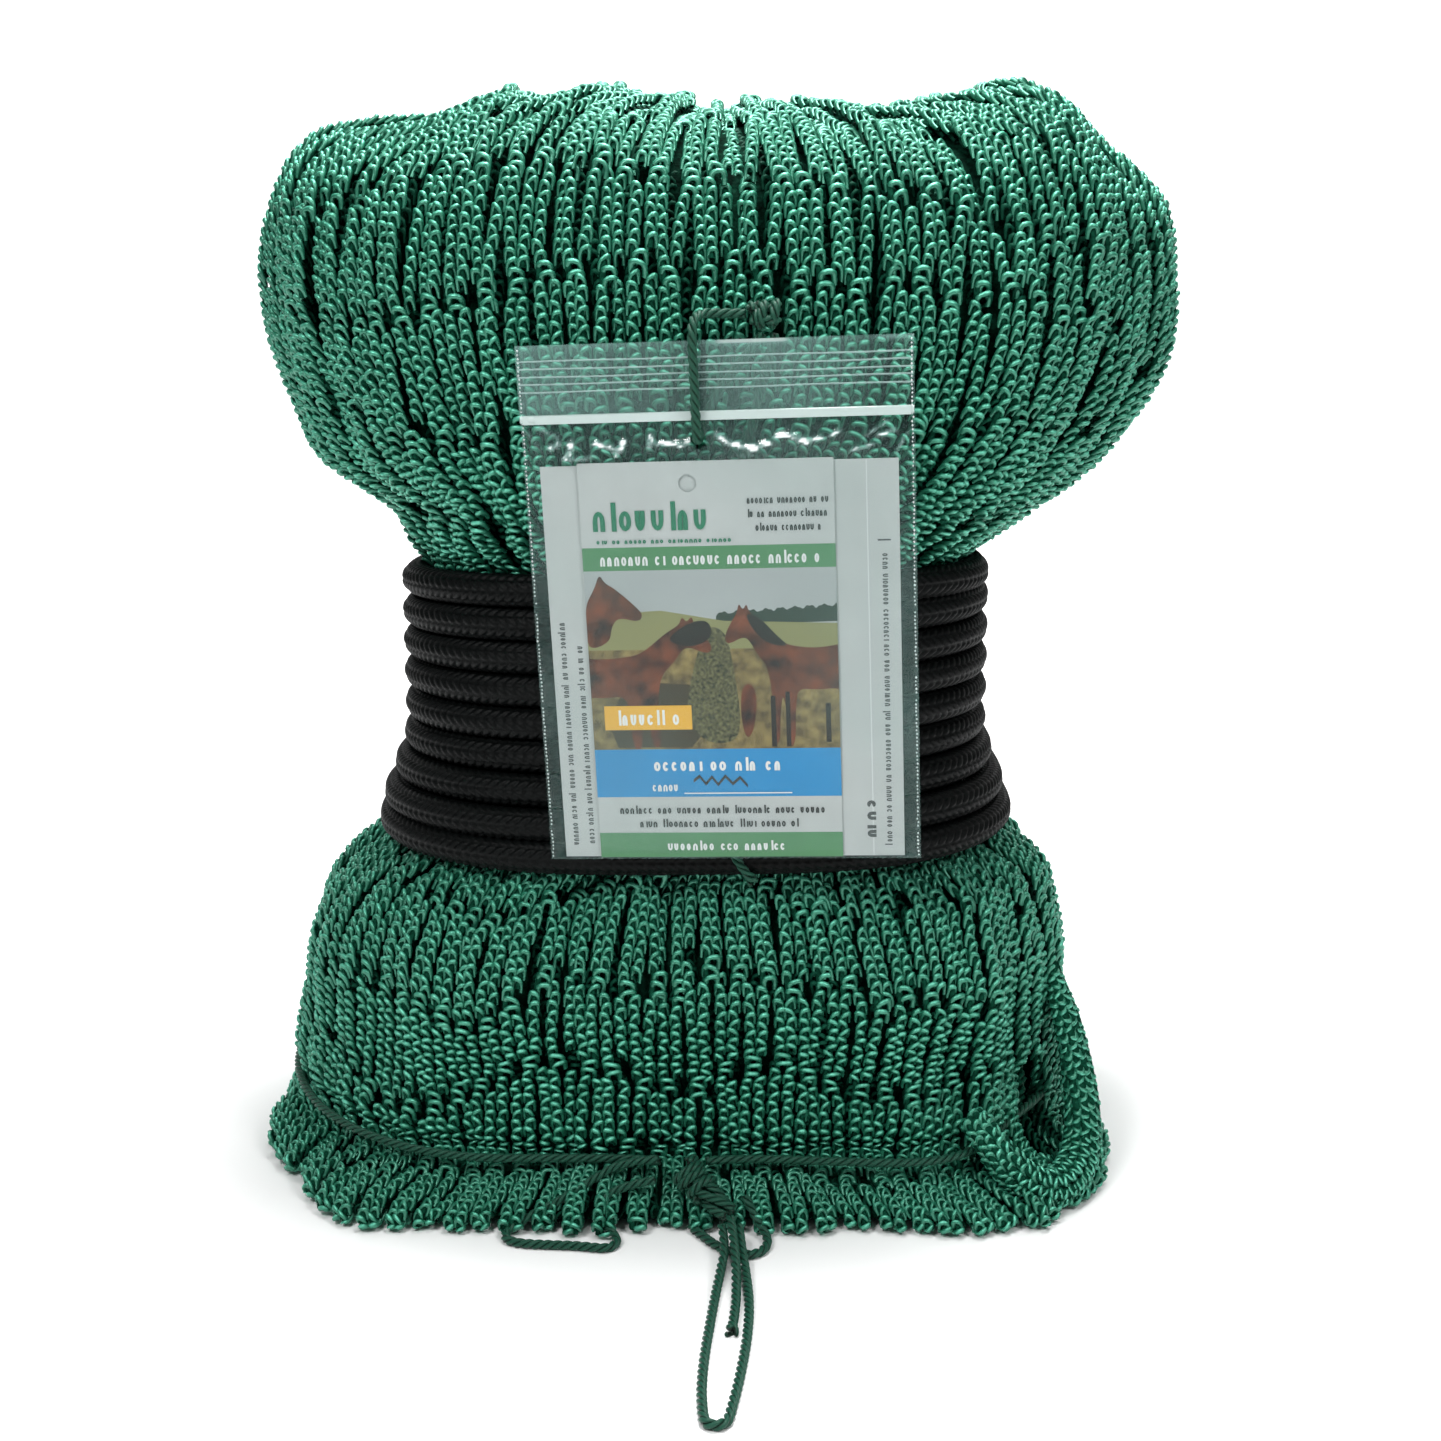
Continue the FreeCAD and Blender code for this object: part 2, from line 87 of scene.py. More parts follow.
def mesh_object(name, verts, faces, material, body="bundle"):
    """A mesh object from vertex and quad (or triangle) arrays, riding on a body."""
    verts, faces = np.asarray(verts, np.float32), np.asarray(faces, np.int32)
    mesh = bpy.data.meshes.new(name)
    count, corners = faces.shape
    mesh.vertices.add(len(verts))
    mesh.vertices.foreach_set("co", verts.ravel())
    mesh.loops.add(count * corners)
    mesh.loops.foreach_set("vertex_index", faces.ravel())
    mesh.polygons.add(count)
    mesh.polygons.foreach_set("loop_start", np.arange(0, count * corners, corners, dtype=np.int32))
    mesh.update(calc_edges=True)
    mesh.validate()
    mesh.polygons.foreach_set("use_smooth", np.ones(len(mesh.polygons), dtype=bool))
    mesh.materials.append(material)
    obj = add_object(name, mesh)
    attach(obj, body)
    return obj


def set_points(obj, name, values):
    """Give each point of the mesh a value that its material reads."""
    layer = obj.data.attributes.new(name, "FLOAT", "POINT")
    layer.data.foreach_set("value", np.asarray(values, np.float32))


def paint_node(node, material):
    """Show a CAD node as it is, in this material."""
    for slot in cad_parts[node].material_slots:
        slot.material = material


def tube_faces(rings, sides, closed_ring=True):
    """Quads between consecutive rings of a tube."""
    k, s = np.meshgrid(np.arange(rings - 1), np.arange(sides), indexing="ij")
    a, b = k * sides + s, k * sides + (s + 1) % sides
    quads = np.stack([a, b, b + sides, a + sides], -1).reshape(-1, 4)
    return quads if closed_ring else quads[(s != sides - 1).reshape(-1)]


def merged(parts):
    """Join parts, each with vertices, faces and values of its vertices, into one of each."""
    starts = np.cumsum([0] + [len(part[0]) for part in parts])
    verts, faces, *values = zip(*parts)
    faces = [f + start for f, start in zip(faces, starts)]
    return [np.concatenate(column) for column in (verts, faces, *values)]


def closed_tube(rings, sides):
    """Triangles of a tube whose two ends are closed with fans."""
    quads = tube_faces(rings, sides)
    last = (rings - 1) * sides
    first_end = [(0, j + 1, j) for j in range(1, sides - 1)]
    last_end = [(last, last + j, last + j + 1) for j in range(1, sides - 1)]
    return np.concatenate([quads[:, [0, 1, 2]], quads[:, [0, 2, 3]], first_end, last_end])


def path_frames(points):
    """Side and up vectors along a line, carried without twist."""
    tangents = unit(np.gradient(points, axis=0))
    up = UP if abs(tangents[0][2]) < 0.9 else np.array([0.0, -1.0, 0.0])
    sides = np.zeros_like(points)
    for k, tangent in enumerate(tangents):
        side = np.cross(tangent, up)
        side = side / np.linalg.norm(side)
        up = np.cross(side, tangent)
        sides[k] = side
    return sides, np.cross(sides, tangents)


def along(points):
    """Length along a line at each of its points."""
    return np.concatenate([[0.0], np.cumsum(np.linalg.norm(np.diff(points, axis=0), axis=1))])


def interpolate(t, s, points):
    """The points at lengths t, of a line whose own points are at lengths s."""
    return np.stack([np.interp(t, s, points[:, k]) for k in range(3)], -1)


def resample(points, step):
    """The same line in even steps of about this length."""
    s = along(points)
    count = max(4, int(round(s[-1] / step)) + 1)
    return interpolate(np.linspace(0, s[-1], count), s, points)


def tube_round(line, radius, first, second, sides):
    """Rings round each point of a line, in the plane of two vectors."""
    angle = np.linspace(0, 2 * math.pi, sides, endpoint=False)
    return line[:, None] + radius * (np.cos(angle)[:, None] * first[:, None]
                                     + np.sin(angle)[:, None] * second[:, None])


def nurbs_line(name, control, resolution=10):
    """The points of a smooth open spline with these control points."""
    curve = bpy.data.curves.new(name + "_route", "CURVE")
    curve.dimensions = "3D"
    curve.resolution_u = resolution
    spline = curve.splines.new("NURBS")
    spline.points.add(len(control) - 1)
    for point, co in zip(spline.points, control):
        point.co = (*co, 1.0)
    spline.order_u = 3
    spline.use_endpoint_u = True
    holder = bpy.data.objects.new(name + "_route", curve)
    mesh = bpy.data.meshes.new_from_object(holder)
    line = np.array([v.co[:] for v in mesh.vertices])
    bpy.data.objects.remove(holder)
    bpy.data.meshes.remove(mesh)
    bpy.data.curves.remove(curve)
    return line


# ---- Materials
def new_material(name, color, roughness, specular, sheen=0.0, sheen_tint=(1, 1, 1),
                 coat=0.0, coat_roughness=0.1, alpha=1.0):
    """A material, its node tree and its shader."""
    material = bpy.data.materials.new(name)
    material.use_nodes = True
    shader = material.node_tree.nodes["Principled BSDF"]
    for socket, value in (("Base Color", (*color, 1)), ("Roughness", roughness),
                          ("Specular IOR Level", specular), ("Sheen Weight", sheen),
                          ("Sheen Tint", (*sheen_tint, 1)), ("Coat Weight", coat),
                          ("Coat Roughness", coat_roughness), ("Alpha", alpha)):
        shader.inputs[socket].default_value = value
    material.diffuse_color = (*color, 1)
    return material, material.node_tree, shader


def noise(tree, scale, detail, stretch=None, kind="Object"):
    """A noise texture over the piece's own coordinates, or over its UV map."""
    coords = tree.nodes.new("ShaderNodeTexCoord")
    texture = tree.nodes.new("ShaderNodeTexNoise")
    texture.inputs["Scale"].default_value = scale
    texture.inputs["Detail"].default_value = detail
    source = coords.outputs[kind]
    if stretch is not None:
        mapping = tree.nodes.new("ShaderNodeMapping")
        mapping.inputs["Scale"].default_value = stretch
        tree.links.new(source, mapping.inputs["Vector"])
        source = mapping.outputs["Vector"]
    tree.links.new(source, texture.inputs["Vector"])
    return texture.outputs["Fac"]


def tint(tree, shader, fac, low, high, lo=0.3, hi=0.7):
    """Colour the surface between two colours by a factor."""
    ramp = tree.nodes.new("ShaderNodeValToRGB")
    ramp.color_ramp.elements[0].position = lo
    ramp.color_ramp.elements[1].position = hi
    ramp.color_ramp.elements[0].color = (*low, 1)
    ramp.color_ramp.elements[1].color = (*high, 1)
    tree.links.new(fac, ramp.inputs["Fac"])
    tree.links.new(ramp.outputs["Color"], shader.inputs["Base Color"])
    return ramp


def bump(tree, shader, height, strength, distance):
    """Fine relief that is too small for geometry."""
    node = tree.nodes.new("ShaderNodeBump")
    node.inputs["Strength"].default_value = strength
    node.inputs["Distance"].default_value = distance
    tree.links.new(height, node.inputs["Height"])
    tree.links.new(node.outputs["Normal"], shader.inputs["Normal"])


def crested(tree, shader, low, middle, high, scale, spread=0.35):
    """Painted light: colour by the piece's own crest attribute, painted shade in its hollows (0)
    and a painted highlight on its raised yarn (1), with a slow change from place to place."""
    crest = tree.nodes.new("ShaderNodeAttribute")
    crest.attribute_name = "crest"
    drift = tree.nodes.new("ShaderNodeMath")
    drift.operation = "MULTIPLY_ADD"
    drift.inputs[1].default_value = spread
    tree.links.new(noise(tree, scale, 3.0), drift.inputs[0])
    tree.links.new(crest.outputs["Fac"], drift.inputs[2])
    ramp = tint(tree, shader, drift.outputs[0], low, high, 0.1, 1.1)
    ramp.color_ramp.elements[1].position = 1.0
    ramp.color_ramp.elements.new(0.5).color = (*middle, 1)


def netting_material(name, low, middle, high, roughness, specular, ior, metallic=0.0):
    """Glossy dyed nylon filament: colour varies a little from stitch to stitch, with painted shade
    in the hollows and a painted highlight on the raised yarn of each loop.
    """
    material, tree, shader = new_material(name, middle, roughness, specular)
    shader.inputs["IOR"].default_value = ior
    shader.inputs["Metallic"].default_value = metallic
    shader.inputs["Specular Tint"].default_value = (0.50, 1.0, 0.80, 1.0)
    crested(tree, shader, low, middle, high, 90.0)
    bump(tree, shader, noise(tree, 1800.0, 1.0, (1.0, 1.0, 0.35)), 0.16, 0.0002)
    return material


# low: painted shade in the hollows; middle: the nylon's own green; high: painted highlight on the
# raised yarn
NET = netting_material("netting_nylon", (0.006, 0.100, 0.058), (0.014, 0.190, 0.112),
                       (0.150, 0.650, 0.470), 0.42, 1.0, 1.8, 0.28)
# The same nylon for the strands of the layer below, darkened as painted shade
NET_SHADED = netting_material("netting_nylon_inner_shaded", (0.001, 0.022, 0.012), (0.003, 0.046, 0.026),
                            (0.008, 0.090, 0.054), 0.6, 0.15, 1.45)


def mottled(name, color, roughness, specular, mottle=None, relief=None, alpha=1.0):
    """A material with a mottle (noise scale and detail, low and high colour) and a fine relief
    (noise scale and detail, strength, distance)."""
    material, tree, shader = new_material(name, color, roughness, specular, alpha=alpha)
    if mottle:
        scale, detail, low, high = mottle
        tint(tree, shader, noise(tree, scale, detail), low, high)
    if relief:
        scale, detail, strength, distance = relief
        bump(tree, shader, noise(tree, scale, detail), strength, distance)
    return material


def twine_material():
    """Three-strand twine: fine filaments run along each strand. Its colour has painted shade where
    the strands meet and a painted highlight on their outer sides.
    """
    material, tree, shader = new_material("twine_nylon", (0.006, 0.06, 0.03), 0.45, 0.25,
                                          sheen=0.05, sheen_tint=(0.6, 1.0, 0.8))
    # painted shade, the twine's own green, and a painted highlight
    crested(tree, shader, (0.0005, 0.008, 0.004), (0.002, 0.022, 0.012), (0.007, 0.062, 0.037),
            700.0, 0.25)
    bump(tree, shader, noise(tree, 1.0, 2.0, (26.0, 3.0, 1.0), "UV"), 0.5, 0.0003)
    return material


def paper_material(name, color, roughness=0.45):
    """Coated paper or card, with a faint mottle."""
    low = tuple(c * 0.93 for c in color)
    return mottled(name, color, roughness, 0.4, (60.0, 3.0, low, color), (900.0, 2.0, 0.08, 0.0002))


def film_material():
    """Clear polythene: how milky it is, and the painted glints that make it white and nearly
    opaque, come from the piece's own attribute.
    """
    color = (0.26, 0.47, 0.43)
    material, tree, shader = new_material("film_clear", color, 0.10, 0.9, coat=0.6,
                                          coat_roughness=0.05)
    haze_and_glint = tree.nodes.new("ShaderNodeAttribute")
    haze_and_glint.attribute_name = "haze_and_glint"
    tree.links.new(haze_and_glint.outputs["Fac"], shader.inputs["Alpha"])
    # only the painted glints are milky enough to turn near white
    tint(tree, shader, haze_and_glint.outputs["Fac"], color, (0.95, 1.0, 1.0), 0.45, 0.75)
    bump(tree, shader, noise(tree, 70.0, 2.0), 0.12, 0.0004)
    material.surface_render_method = "BLENDED"
    return material


# The layers of netting deep in the bundle and the inside of a strand, both near black as painted
# shade, and dull black braided yarn
SHADE_CORE = mottled("netting_core_painted_shade", (0.003, 0.02, 0.012), 0.9, 0.02,
               (260.0, 4.0, (0.0008, 0.004, 0.0026), (0.003, 0.028, 0.016)),
               (420.0, 3.0, 0.8, 0.002))
SHADE_FILLING = mottled("netting_painted_shade", (0.002, 0.02, 0.011), 0.85, 0.03,
                  (700.0, 2.0, (0.0015, 0.020, 0.011), (0.005, 0.060, 0.034)),
                  (1200.0, 2.0, 0.6, 0.0006))
ROPE = mottled("rope_braid", (0.003, 0.004, 0.004), 0.5, 0.10,
               (700.0, 3.0, (0.0006, 0.0010, 0.0010), (0.0030, 0.0041, 0.0040)),
               (1500.0, 2.0, 0.5, 0.0003))
TWINE = twine_material()


# ---- The bundle's surface, read from the CAD lobes
def tree_of(node):
    """A search tree of a CAD node's faces."""
    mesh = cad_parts[node].data
    return BVHTree.FromPolygons([v.co.copy() for v in mesh.vertices],
                                [p.vertices[:] for p in mesh.polygons])


TREES = {name: tree_of(name) for name in ("net_crown", "net_waist", "net_skirt", "net_hem")}
ROPE_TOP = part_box("rope_coil")[1][2]
ROPE_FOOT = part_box("rope_coil")[0][2]
CROWN_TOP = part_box("net_crown")[1][2]
HEM_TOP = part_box("net_hem")[1][2]
CENTRE_Y = (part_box("net_waist")[0][1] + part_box("net_waist")[1][1]) / 2
AROUND = 240            # points round each ring
FAR = 0.6               # metres: outside the bundle from any point of its middle


def reach(tree, start, direction):
    """How far a ray goes before it leaves the lobe."""
    distance = tree.ray_cast(Vector(start) + Vector(direction) * FAR, -Vector(direction))[3]
    return FAR - distance


def ring(z):
    """The outline of the bundle at a level, evenly spaced from the front centre, +X first.

    The left half is measured and mirrored, because a pocket is cut into the right half.
    """
    if z >= ROPE_TOP:
        tree = TREES["net_crown"]
    elif z >= ROPE_FOOT:
        tree = TREES["net_waist"]
    else:
        tree = TREES["net_skirt"] if z >= HEM_TOP else TREES["net_hem"]
    middle = (0, CENTRE_Y, z)
    centre = (reach(tree, middle, (1, 0, 0)) - reach(tree, middle, (-1, 0, 0))) / 2
    half = []
    for angle in np.linspace(-math.pi / 2, -3 * math.pi / 2, AROUND // 2 + 1):
        direction = (math.cos(angle), math.sin(angle), 0)
        distance = reach(tree, (centre, CENTRE_Y, z), direction)
        half.append((direction[0] * distance, direction[1] * distance))
    half = np.array(half)
    outline = np.concatenate([half * (-1, 1), half[-2::-1]])
    s = along(outline)
    t = np.linspace(0, s[-1], AROUND, endpoint=False)
    x, y = np.interp(t, s, outline[:, 0]), np.interp(t, s, outline[:, 1])
    return np.stack([x + centre, y + CENTRE_Y, np.full(AROUND, z)], -1), s[-1]


class Lobe:
    """A stack of rings, sampled by level (0 at the first) and by fraction round the ring."""

    def __init__(self, levels):
        rings = [ring(z) for z in levels]
        self.points = np.array([r[0] for r in rings])
        self.girth = np.array([r[1] for r in rings])
        across = np.roll(self.points, -1, 1) - np.roll(self.points, 1, 1)
        up = np.gradient(self.points, axis=0)
        self.normals = unit(np.cross(across, up))
        rise = np.linalg.norm(np.diff(self.points, axis=0), axis=2).mean(1)
        self.height = np.concatenate([[0], np.cumsum(rise)])

    def sample(self, grid, level, turn):
        """Bilinear lookup in a grid of rings."""
        k = np.clip(level, 0, len(grid) - 1.001)
        i, f = k.astype(int), (k % 1)[..., None]
        u = (turn % 1) * AROUND
        j, g = u.astype(int), (u % 1)[..., None]
        j, j2 = j % AROUND, (j + 1) % AROUND
        low = grid[i, j] * (1 - g) + grid[i, j2] * g
        high = grid[i + 1, j] * (1 - g) + grid[i + 1, j2] * g
        return low * (1 - f) + high * f


CORE_INSET = 11 * MM


def surface_core(name, lobe):
    """The inner layers of netting, near black as painted shade, seen only through gaps and hollowed
    behind the fold.
    """
    points = (lobe.points - lobe.normals * CORE_INSET).reshape(-1, 3)
    points = sculpt(points).reshape(lobe.points.shape)
    offset = points - FOLD_HEART
    out, across, rise = offset @ FOLD_AXIS, offset @ FOLD_ACROSS, offset[..., 2]
    near = smooth(1.6 - np.hypot(across / (15 * MM), rise / (26 * MM)))
    points = points - FOLD_AXIS * (near * np.maximum(out + 30 * MM, 0))[..., None]
    levels, around = points.shape[:2]
    faces = tube_faces(levels, around)
    verts = np.concatenate([points.reshape(-1, 3), [points[0].mean(0)], [points[-1].mean(0)]])
    # the first and last rings are closed with a fan round their middle
    j, after = np.arange(around), (np.arange(around) + 1) % around
    low, base = levels * around, (levels - 1) * around
    bottom = np.stack([after, j, np.full(around, low)], -1)
    top = np.stack([base + j, base + after, np.full(around, low + 1)], -1)
    tris = np.concatenate([faces[:, [0, 1, 2]], faces[:, [0, 2, 3]], bottom, top])
    mesh_object(name, settle(verts), tris, SHADE_CORE)


# ---- Knitted strands
PITCH = 3.6 * MM        # one stitch along a strand
WIDTH = 5.35 * MM       # a strand across
BAR = 42 * MM           # from one junction row to the next
INNER_DEPTH = 4.3 * MM  # the second layer of strands below the first
LINE_STEP = 1.2 * MM    # between the points of a strand's line


def stitch(yarn, spans, sides):
    """One knitted loop in strand coordinates (across, along, out): an arch that wraps round the
    front of a round strand, its legs running back and down beside the next loop."""
    wrapped = math.radians(122)
    theta = np.linspace(-wrapped, wrapped, spans)
    radius = (WIDTH - yarn) / 2
    line = np.stack([radius * np.sin(theta) * (1 + 0.08 * np.cos(2 * theta)),
                     PITCH * (0.45 - 1.30 * (np.abs(theta) / wrapped) ** 2.5),
                     0.95 * radius * np.cos(theta)], -1)
    tangent = unit(np.gradient(line, axis=0))
    out = np.stack([np.sin(theta), 0 * theta, np.cos(theta)], -1)
    side = unit(np.cross(tangent, out))
    up = np.cross(side, tangent)
    angle = np.linspace(0, 2 * math.pi, sides, endpoint=False)[:, None]
    thin = 0.85 + 0.2 * np.cos(theta * 0.7)[:, None, None]
    facing = np.cos(angle) * side[:, None] + np.sin(angle) * up[:, None]
    rings = line[:, None] + yarn / 2 * thin * (1.12 * np.cos(angle) * side[:, None]
                                               + 0.9 * np.sin(angle) * up[:, None])
    # crest: a painted highlight on the yarn facing the arch's top and outwards, fading to painted
    # shade down the legs
    crest = np.clip(0.62 * facing[..., 1] + 0.55 * facing[..., 2], 0, 1) ** 1.4
    crest = crest * (0.3 + 0.7 * smooth(np.cos(theta) + 0.45))[:, None]
    return rings.reshape(-1, 3), tube_faces(spans, sides), crest.ravel()


FINE = stitch(1.8 * MM, 11, 6)
COARSE = stitch(1.7 * MM, 7, 4)


def strand_frames(line, normals):
    """Across and outward vectors along a strand."""
    tangents = unit(np.gradient(line, axis=0))
    across = unit(np.cross(tangents, normals))
    return across, np.cross(across, tangents)


def filling(line, normals, radius, hide=None):
    """The inside of a strand, seen between its loops, dark as painted shade."""
    line, normals = line[::2], normals[::2]
    gone = hide(along(line)) if hide is not None else np.zeros(len(line), bool)
    across, outs = strand_frames(line, normals)
    rings = tube_round(line, radius, across, outs, 5)
    faces = tube_faces(len(line), 5)
    return rings.reshape(-1, 3), faces[~np.repeat(gone, 5)[faces].any(1)]


def knit(line, normals, template, rng, wide=None, side_shift=None, hide=None):
    """Place stitches along a strand. wide, side_shift and hide are functions of length.
    Stitches lean to one side and the other in turn."""
    s = along(line)
    pitch = PITCH * rng.uniform(0.96, 1.04)
    # stitches crowd together at the foot
    tight = 1 - 0.26 * smooth((30 * MM - line[:, 2]) / (12 * MM))
    passed = np.concatenate([[0], np.cumsum(np.diff(s) / (pitch * (tight[1:] + tight[:-1]) / 2))])
    spots = np.interp(np.arange(1, passed[-1] - 1) + rng.uniform(0, 0.5), passed, s)
    turn = np.where(np.arange(len(spots)) % 2 == 0, 1.0, -1.0)
    stay = ~hide(spots) if hide is not None else np.ones(len(spots), bool)
    spots, turn = spots[stay], turn[stay][:, None]
    sides, outs = strand_frames(line, normals)
    verts, faces, crest = template
    count = len(spots)
    x = verts[:, 0] * rng.uniform(0.9, 1.06, (count, 1))
    lean = turn * rng.uniform(0.18, 0.50, (count, 1)) + rng.normal(0, 0.10, (count, 1))
    if wide is not None:
        spread = wide(spots)[:, None]
        x, lean = x * spread, lean / spread ** 2
    place = spots[:, None] + verts[:, 1] * np.interp(spots, s, tight)[:, None] + lean * x
    place = place + rng.normal(0, 0.12 * MM, (count, 1))
    out = verts[:, 2] * rng.uniform(0.9, 1.1, (count, 1)) + rng.normal(0, 0.12 * MM, (count, 1))
    out = out + rng.normal(0, 0.10, (count, 1)) * x
    x = x + turn * rng.uniform(0.15, 0.55, (count, 1)) * MM
    if side_shift is not None:
        x = x + side_shift(spots)[:, None]

    def at(values):
        return interpolate(place, s, values)
    world = at(line) + at(sides) * x[..., None] + at(outs) * out[..., None]
    index = (np.arange(count) * len(verts))[:, None, None] + faces
    # each stitch's painted highlight, a little stronger or weaker at random
    bright = np.clip(crest * rng.uniform(0.75, 1.1, (count, 1)), 0, 1)
    return world.reshape(-1, 3), index.reshape(-1, 4), bright.ravel()


def settle(verts):
    """Press whatever would sink through the floor flat, so the foot rests on it."""
    verts = verts.copy()
    low = verts[:, 2] < 2 * MM
    verts[low, 2] = 2 * MM + 0.3 * (verts[low, 2] - 2 * MM)
    return verts


MOST_FACES = 95000


def gather(name, parts, material):
    """Join strands into pieces that stay small enough to export whole."""
    batches, total = [[]], 0
    for verts, faces, *crest in parts:
        if total + len(faces) > MOST_FACES:
            batches.append([])
            total = 0
        batches[-1].append((settle(verts), faces, *crest))
        total += len(faces)
    pieces = []
    for k, batch in enumerate(batches):
        verts, faces, *crest = merged(batch)
        pieces.append(mesh_object("%s_%d" % (name, k + 1), verts, faces, material))
        # the stitches' painted highlight and shade, read by their material
        if crest:
            set_points(pieces[-1], "crest", crest[0])
    return pieces


def ranks(count):
    """A number in 0..1 for each strand, so that any share of the strands is spread evenly."""
    values = []
    for k in range(count):
        value, step, n = 0.0, 0.5, k
        while n:
            value, n, step = value + step * (n & 1), n >> 1, step / 2
        values.append(value)
    return np.array(values)


def over_the_top(front, front_normals, back, back_normals, rng):
    """Join a strand's front and back over the top, slightly domed."""
    t = np.linspace(0, 1, 9)[1:-1, None]
    gap = np.linalg.norm(front[-1] - back[-1])
    dome = 0.06 * gap + rng.normal(0, 1.2 * MM)
    over = front[-1] * (1 - t) + back[-1] * t + UP * dome * (1 - (2 * t - 1) ** 2)
    over_normals = unit(front_normals[-1] * (1 - t) + back_normals[-1] * t + 1.2 * UP)
    return (np.concatenate([front, over, back[::-1]]),
            np.concatenate([front_normals, over_normals, back_normals[::-1]]))


def strand_layer(lobe, count, level, seed, both_sides, coarse=False):
    """Strands that follow the lobe's levels. With both_sides each one goes up the front, over
    the top and down the back, and otherwise it ends in a tail at the hem. The coarse layer lies
    behind the other and has no junctions."""
    rng = np.random.default_rng(seed)
    order = ranks(count)
    drift, heave, row_shift = wander(2, seed + 1), wander(2, seed + 5), wander(2, seed + 2)
    rows = np.arange(-2, 12)
    stray = rng.uniform(-1, 1, (len(rows), count + 2)) * 3.5 * MM
    parts, insides = [], []
    height = np.interp(level, np.arange(len(lobe.height)), lobe.height)
    girth = np.interp(level, np.arange(len(lobe.girth)), lobe.girth)
    for k in range(count):
        turn = -0.25 + 0.5 * (k + 0.5) / count if both_sides else (k + 0.5) / count
        spread = girth / count / (2 if both_sides else 1)
        pull = 0.5 * np.maximum(spread - WIDTH * 0.86, 0.3 * MM)
        # the strand at the left of each junction names it, so both strands meet at one height
        pair = np.where((k + rows) % 2 == 0, k, k - 1)
        meets = rows * BAR + 9 * MM * row_shift(pair * 0.23, rows * 1.9)
        meets = np.sort(meets + stray[np.arange(len(rows)), pair])
        row = np.interp(height, meets, rows)
        sway = ((-1) ** k) * pull * np.cos(math.pi * row)
        sway = sway + 1.1 * MM * drift(height / 0.022, k * 1.7)
        crowd = smooth((order[k] - (spread / (WIDTH * 0.94)) + 0.12) / 0.24)
        sink = (INNER_DEPTH if coarse else 0.0) + 3.6 * MM * crowd + rng.normal(0, 0.5 * MM)
        sink = sink + 1.3 * MM * heave(height / 0.028, k * 2.3)
        halves = []
        for sign in ((1, -1) if both_sides else (1,)):
            u = (turn if sign > 0 else 0.5 - turn) + sign * sway / girth
            point = lobe.sample(lobe.points, level, u)
            normal = unit(lobe.sample(lobe.normals, level, u))
            point = sculpt(point + normal * (folds(point, u) - sink)[:, None], not coarse)
            halves.append((point, normal))
        line, normals = halves[0]
        if both_sides:
            line, normals = over_the_top(*halves[0], *halves[1], rng)
        elif not coarse:
            line, normals = hem_tail(line, normals)
        # even spacing, then stitches
        s = along(line)
        t = np.arange(0, s[-1], LINE_STEP)
        half = s[len(level) - 1]
        line, normals = interpolate(t, s, line), unit(interpolate(t, s, normals))

        def phase(spots):
            """How near a stitch is to a junction row, and on which side its partner is."""
            h = np.where(spots <= half, spots, (s[-1] - spots) if both_sides else spots)
            nearest = np.round(np.interp(h, meets, rows)).astype(int)
            near = np.abs(h - meets[nearest - rows[0]]) < 1.1 * PITCH
            partner = np.where((k + nearest) % 2 == 0, 1, -1)
            return near, partner
        if coarse:
            parts.append(knit(line, normals, COARSE, rng))
            continue
        # at a junction one strand of the pair carries wide stitches over both
        hide = (lambda spots: phase(spots)[0] & (phase(spots)[1] < 0))
        wide = (lambda spots: np.where(phase(spots)[0], 1.45, 1.0))
        shift = (lambda spots: np.where(phase(spots)[0], 0.43 * WIDTH, 0.0))
        parts.append(knit(line, normals, FINE, rng, wide, shift, hide))
        insides.append(filling(line, normals, 1.3 * MM, hide))
    return parts, insides


# ---- Folds, dents and the bundle's real outline
RIDGES, LUMPS, SLITS = wander(2, 11), wander(3, 12), wander(2, 13)

# The belt twine's plane: its height at the front, its rise towards the back, and the front's y
BELT_FRONT, BELT_SLOPE, BELT_Y = 24 * MM, 0.105, -105.3 * MM

# How the top edge rises and dips: across in mm, and up in mm
TOP_EDGE = np.array([(-190, 5), (-174, 6), (-160, 2), (-146, -3), (-130, -7), (-112, -10),
                     (-95, -5), (-78, -1), (-60, -2), (-43, 1), (-26, 1), (-12, -2), (0, -3),
                     (14, -2), (26, -3), (38, -5), (48, -5), (60, -5), (78, -4), (95, 0),
                     (112, 3), (126, 6), (142, 1), (155, -8), (170, -10), (190, -12)], float)


def bell(value, middle, spread):
    """A bump of height 1 round a middle value."""
    return np.exp(-((value - middle) / spread) ** 2)


def folds(point, turn):
    """Folds and hollows of the gathered netting, as a height above its CAD surface."""
    across = turn * 1000.0
    x, y, z = point[:, 0], point[:, 1], point[:, 2]
    lumps = LUMPS(x / 0.032, y / 0.032, z / 0.05) * 1.7
    ridges = RIDGES(across / 9.0, z / 0.10) * 2.0
    slits = np.minimum(SLITS(across / 6.5, z / 0.13), 0.0) * 3.2
    # the belt pulls the netting in, most of all at the front, and it swells above the belt
    belt = BELT_FRONT + BELT_SLOPE * (y - BELT_Y)
    front = smooth((-y - 0.02) / 0.05)
    groove = (-2.6 * bell(z, belt, 0.0045) + 0.9 * bell(z, belt + 0.012, 0.008))
    groove = groove * (0.35 + 0.65 * front)
    return (lumps + ridges + slits + groove - 2.9) * MM


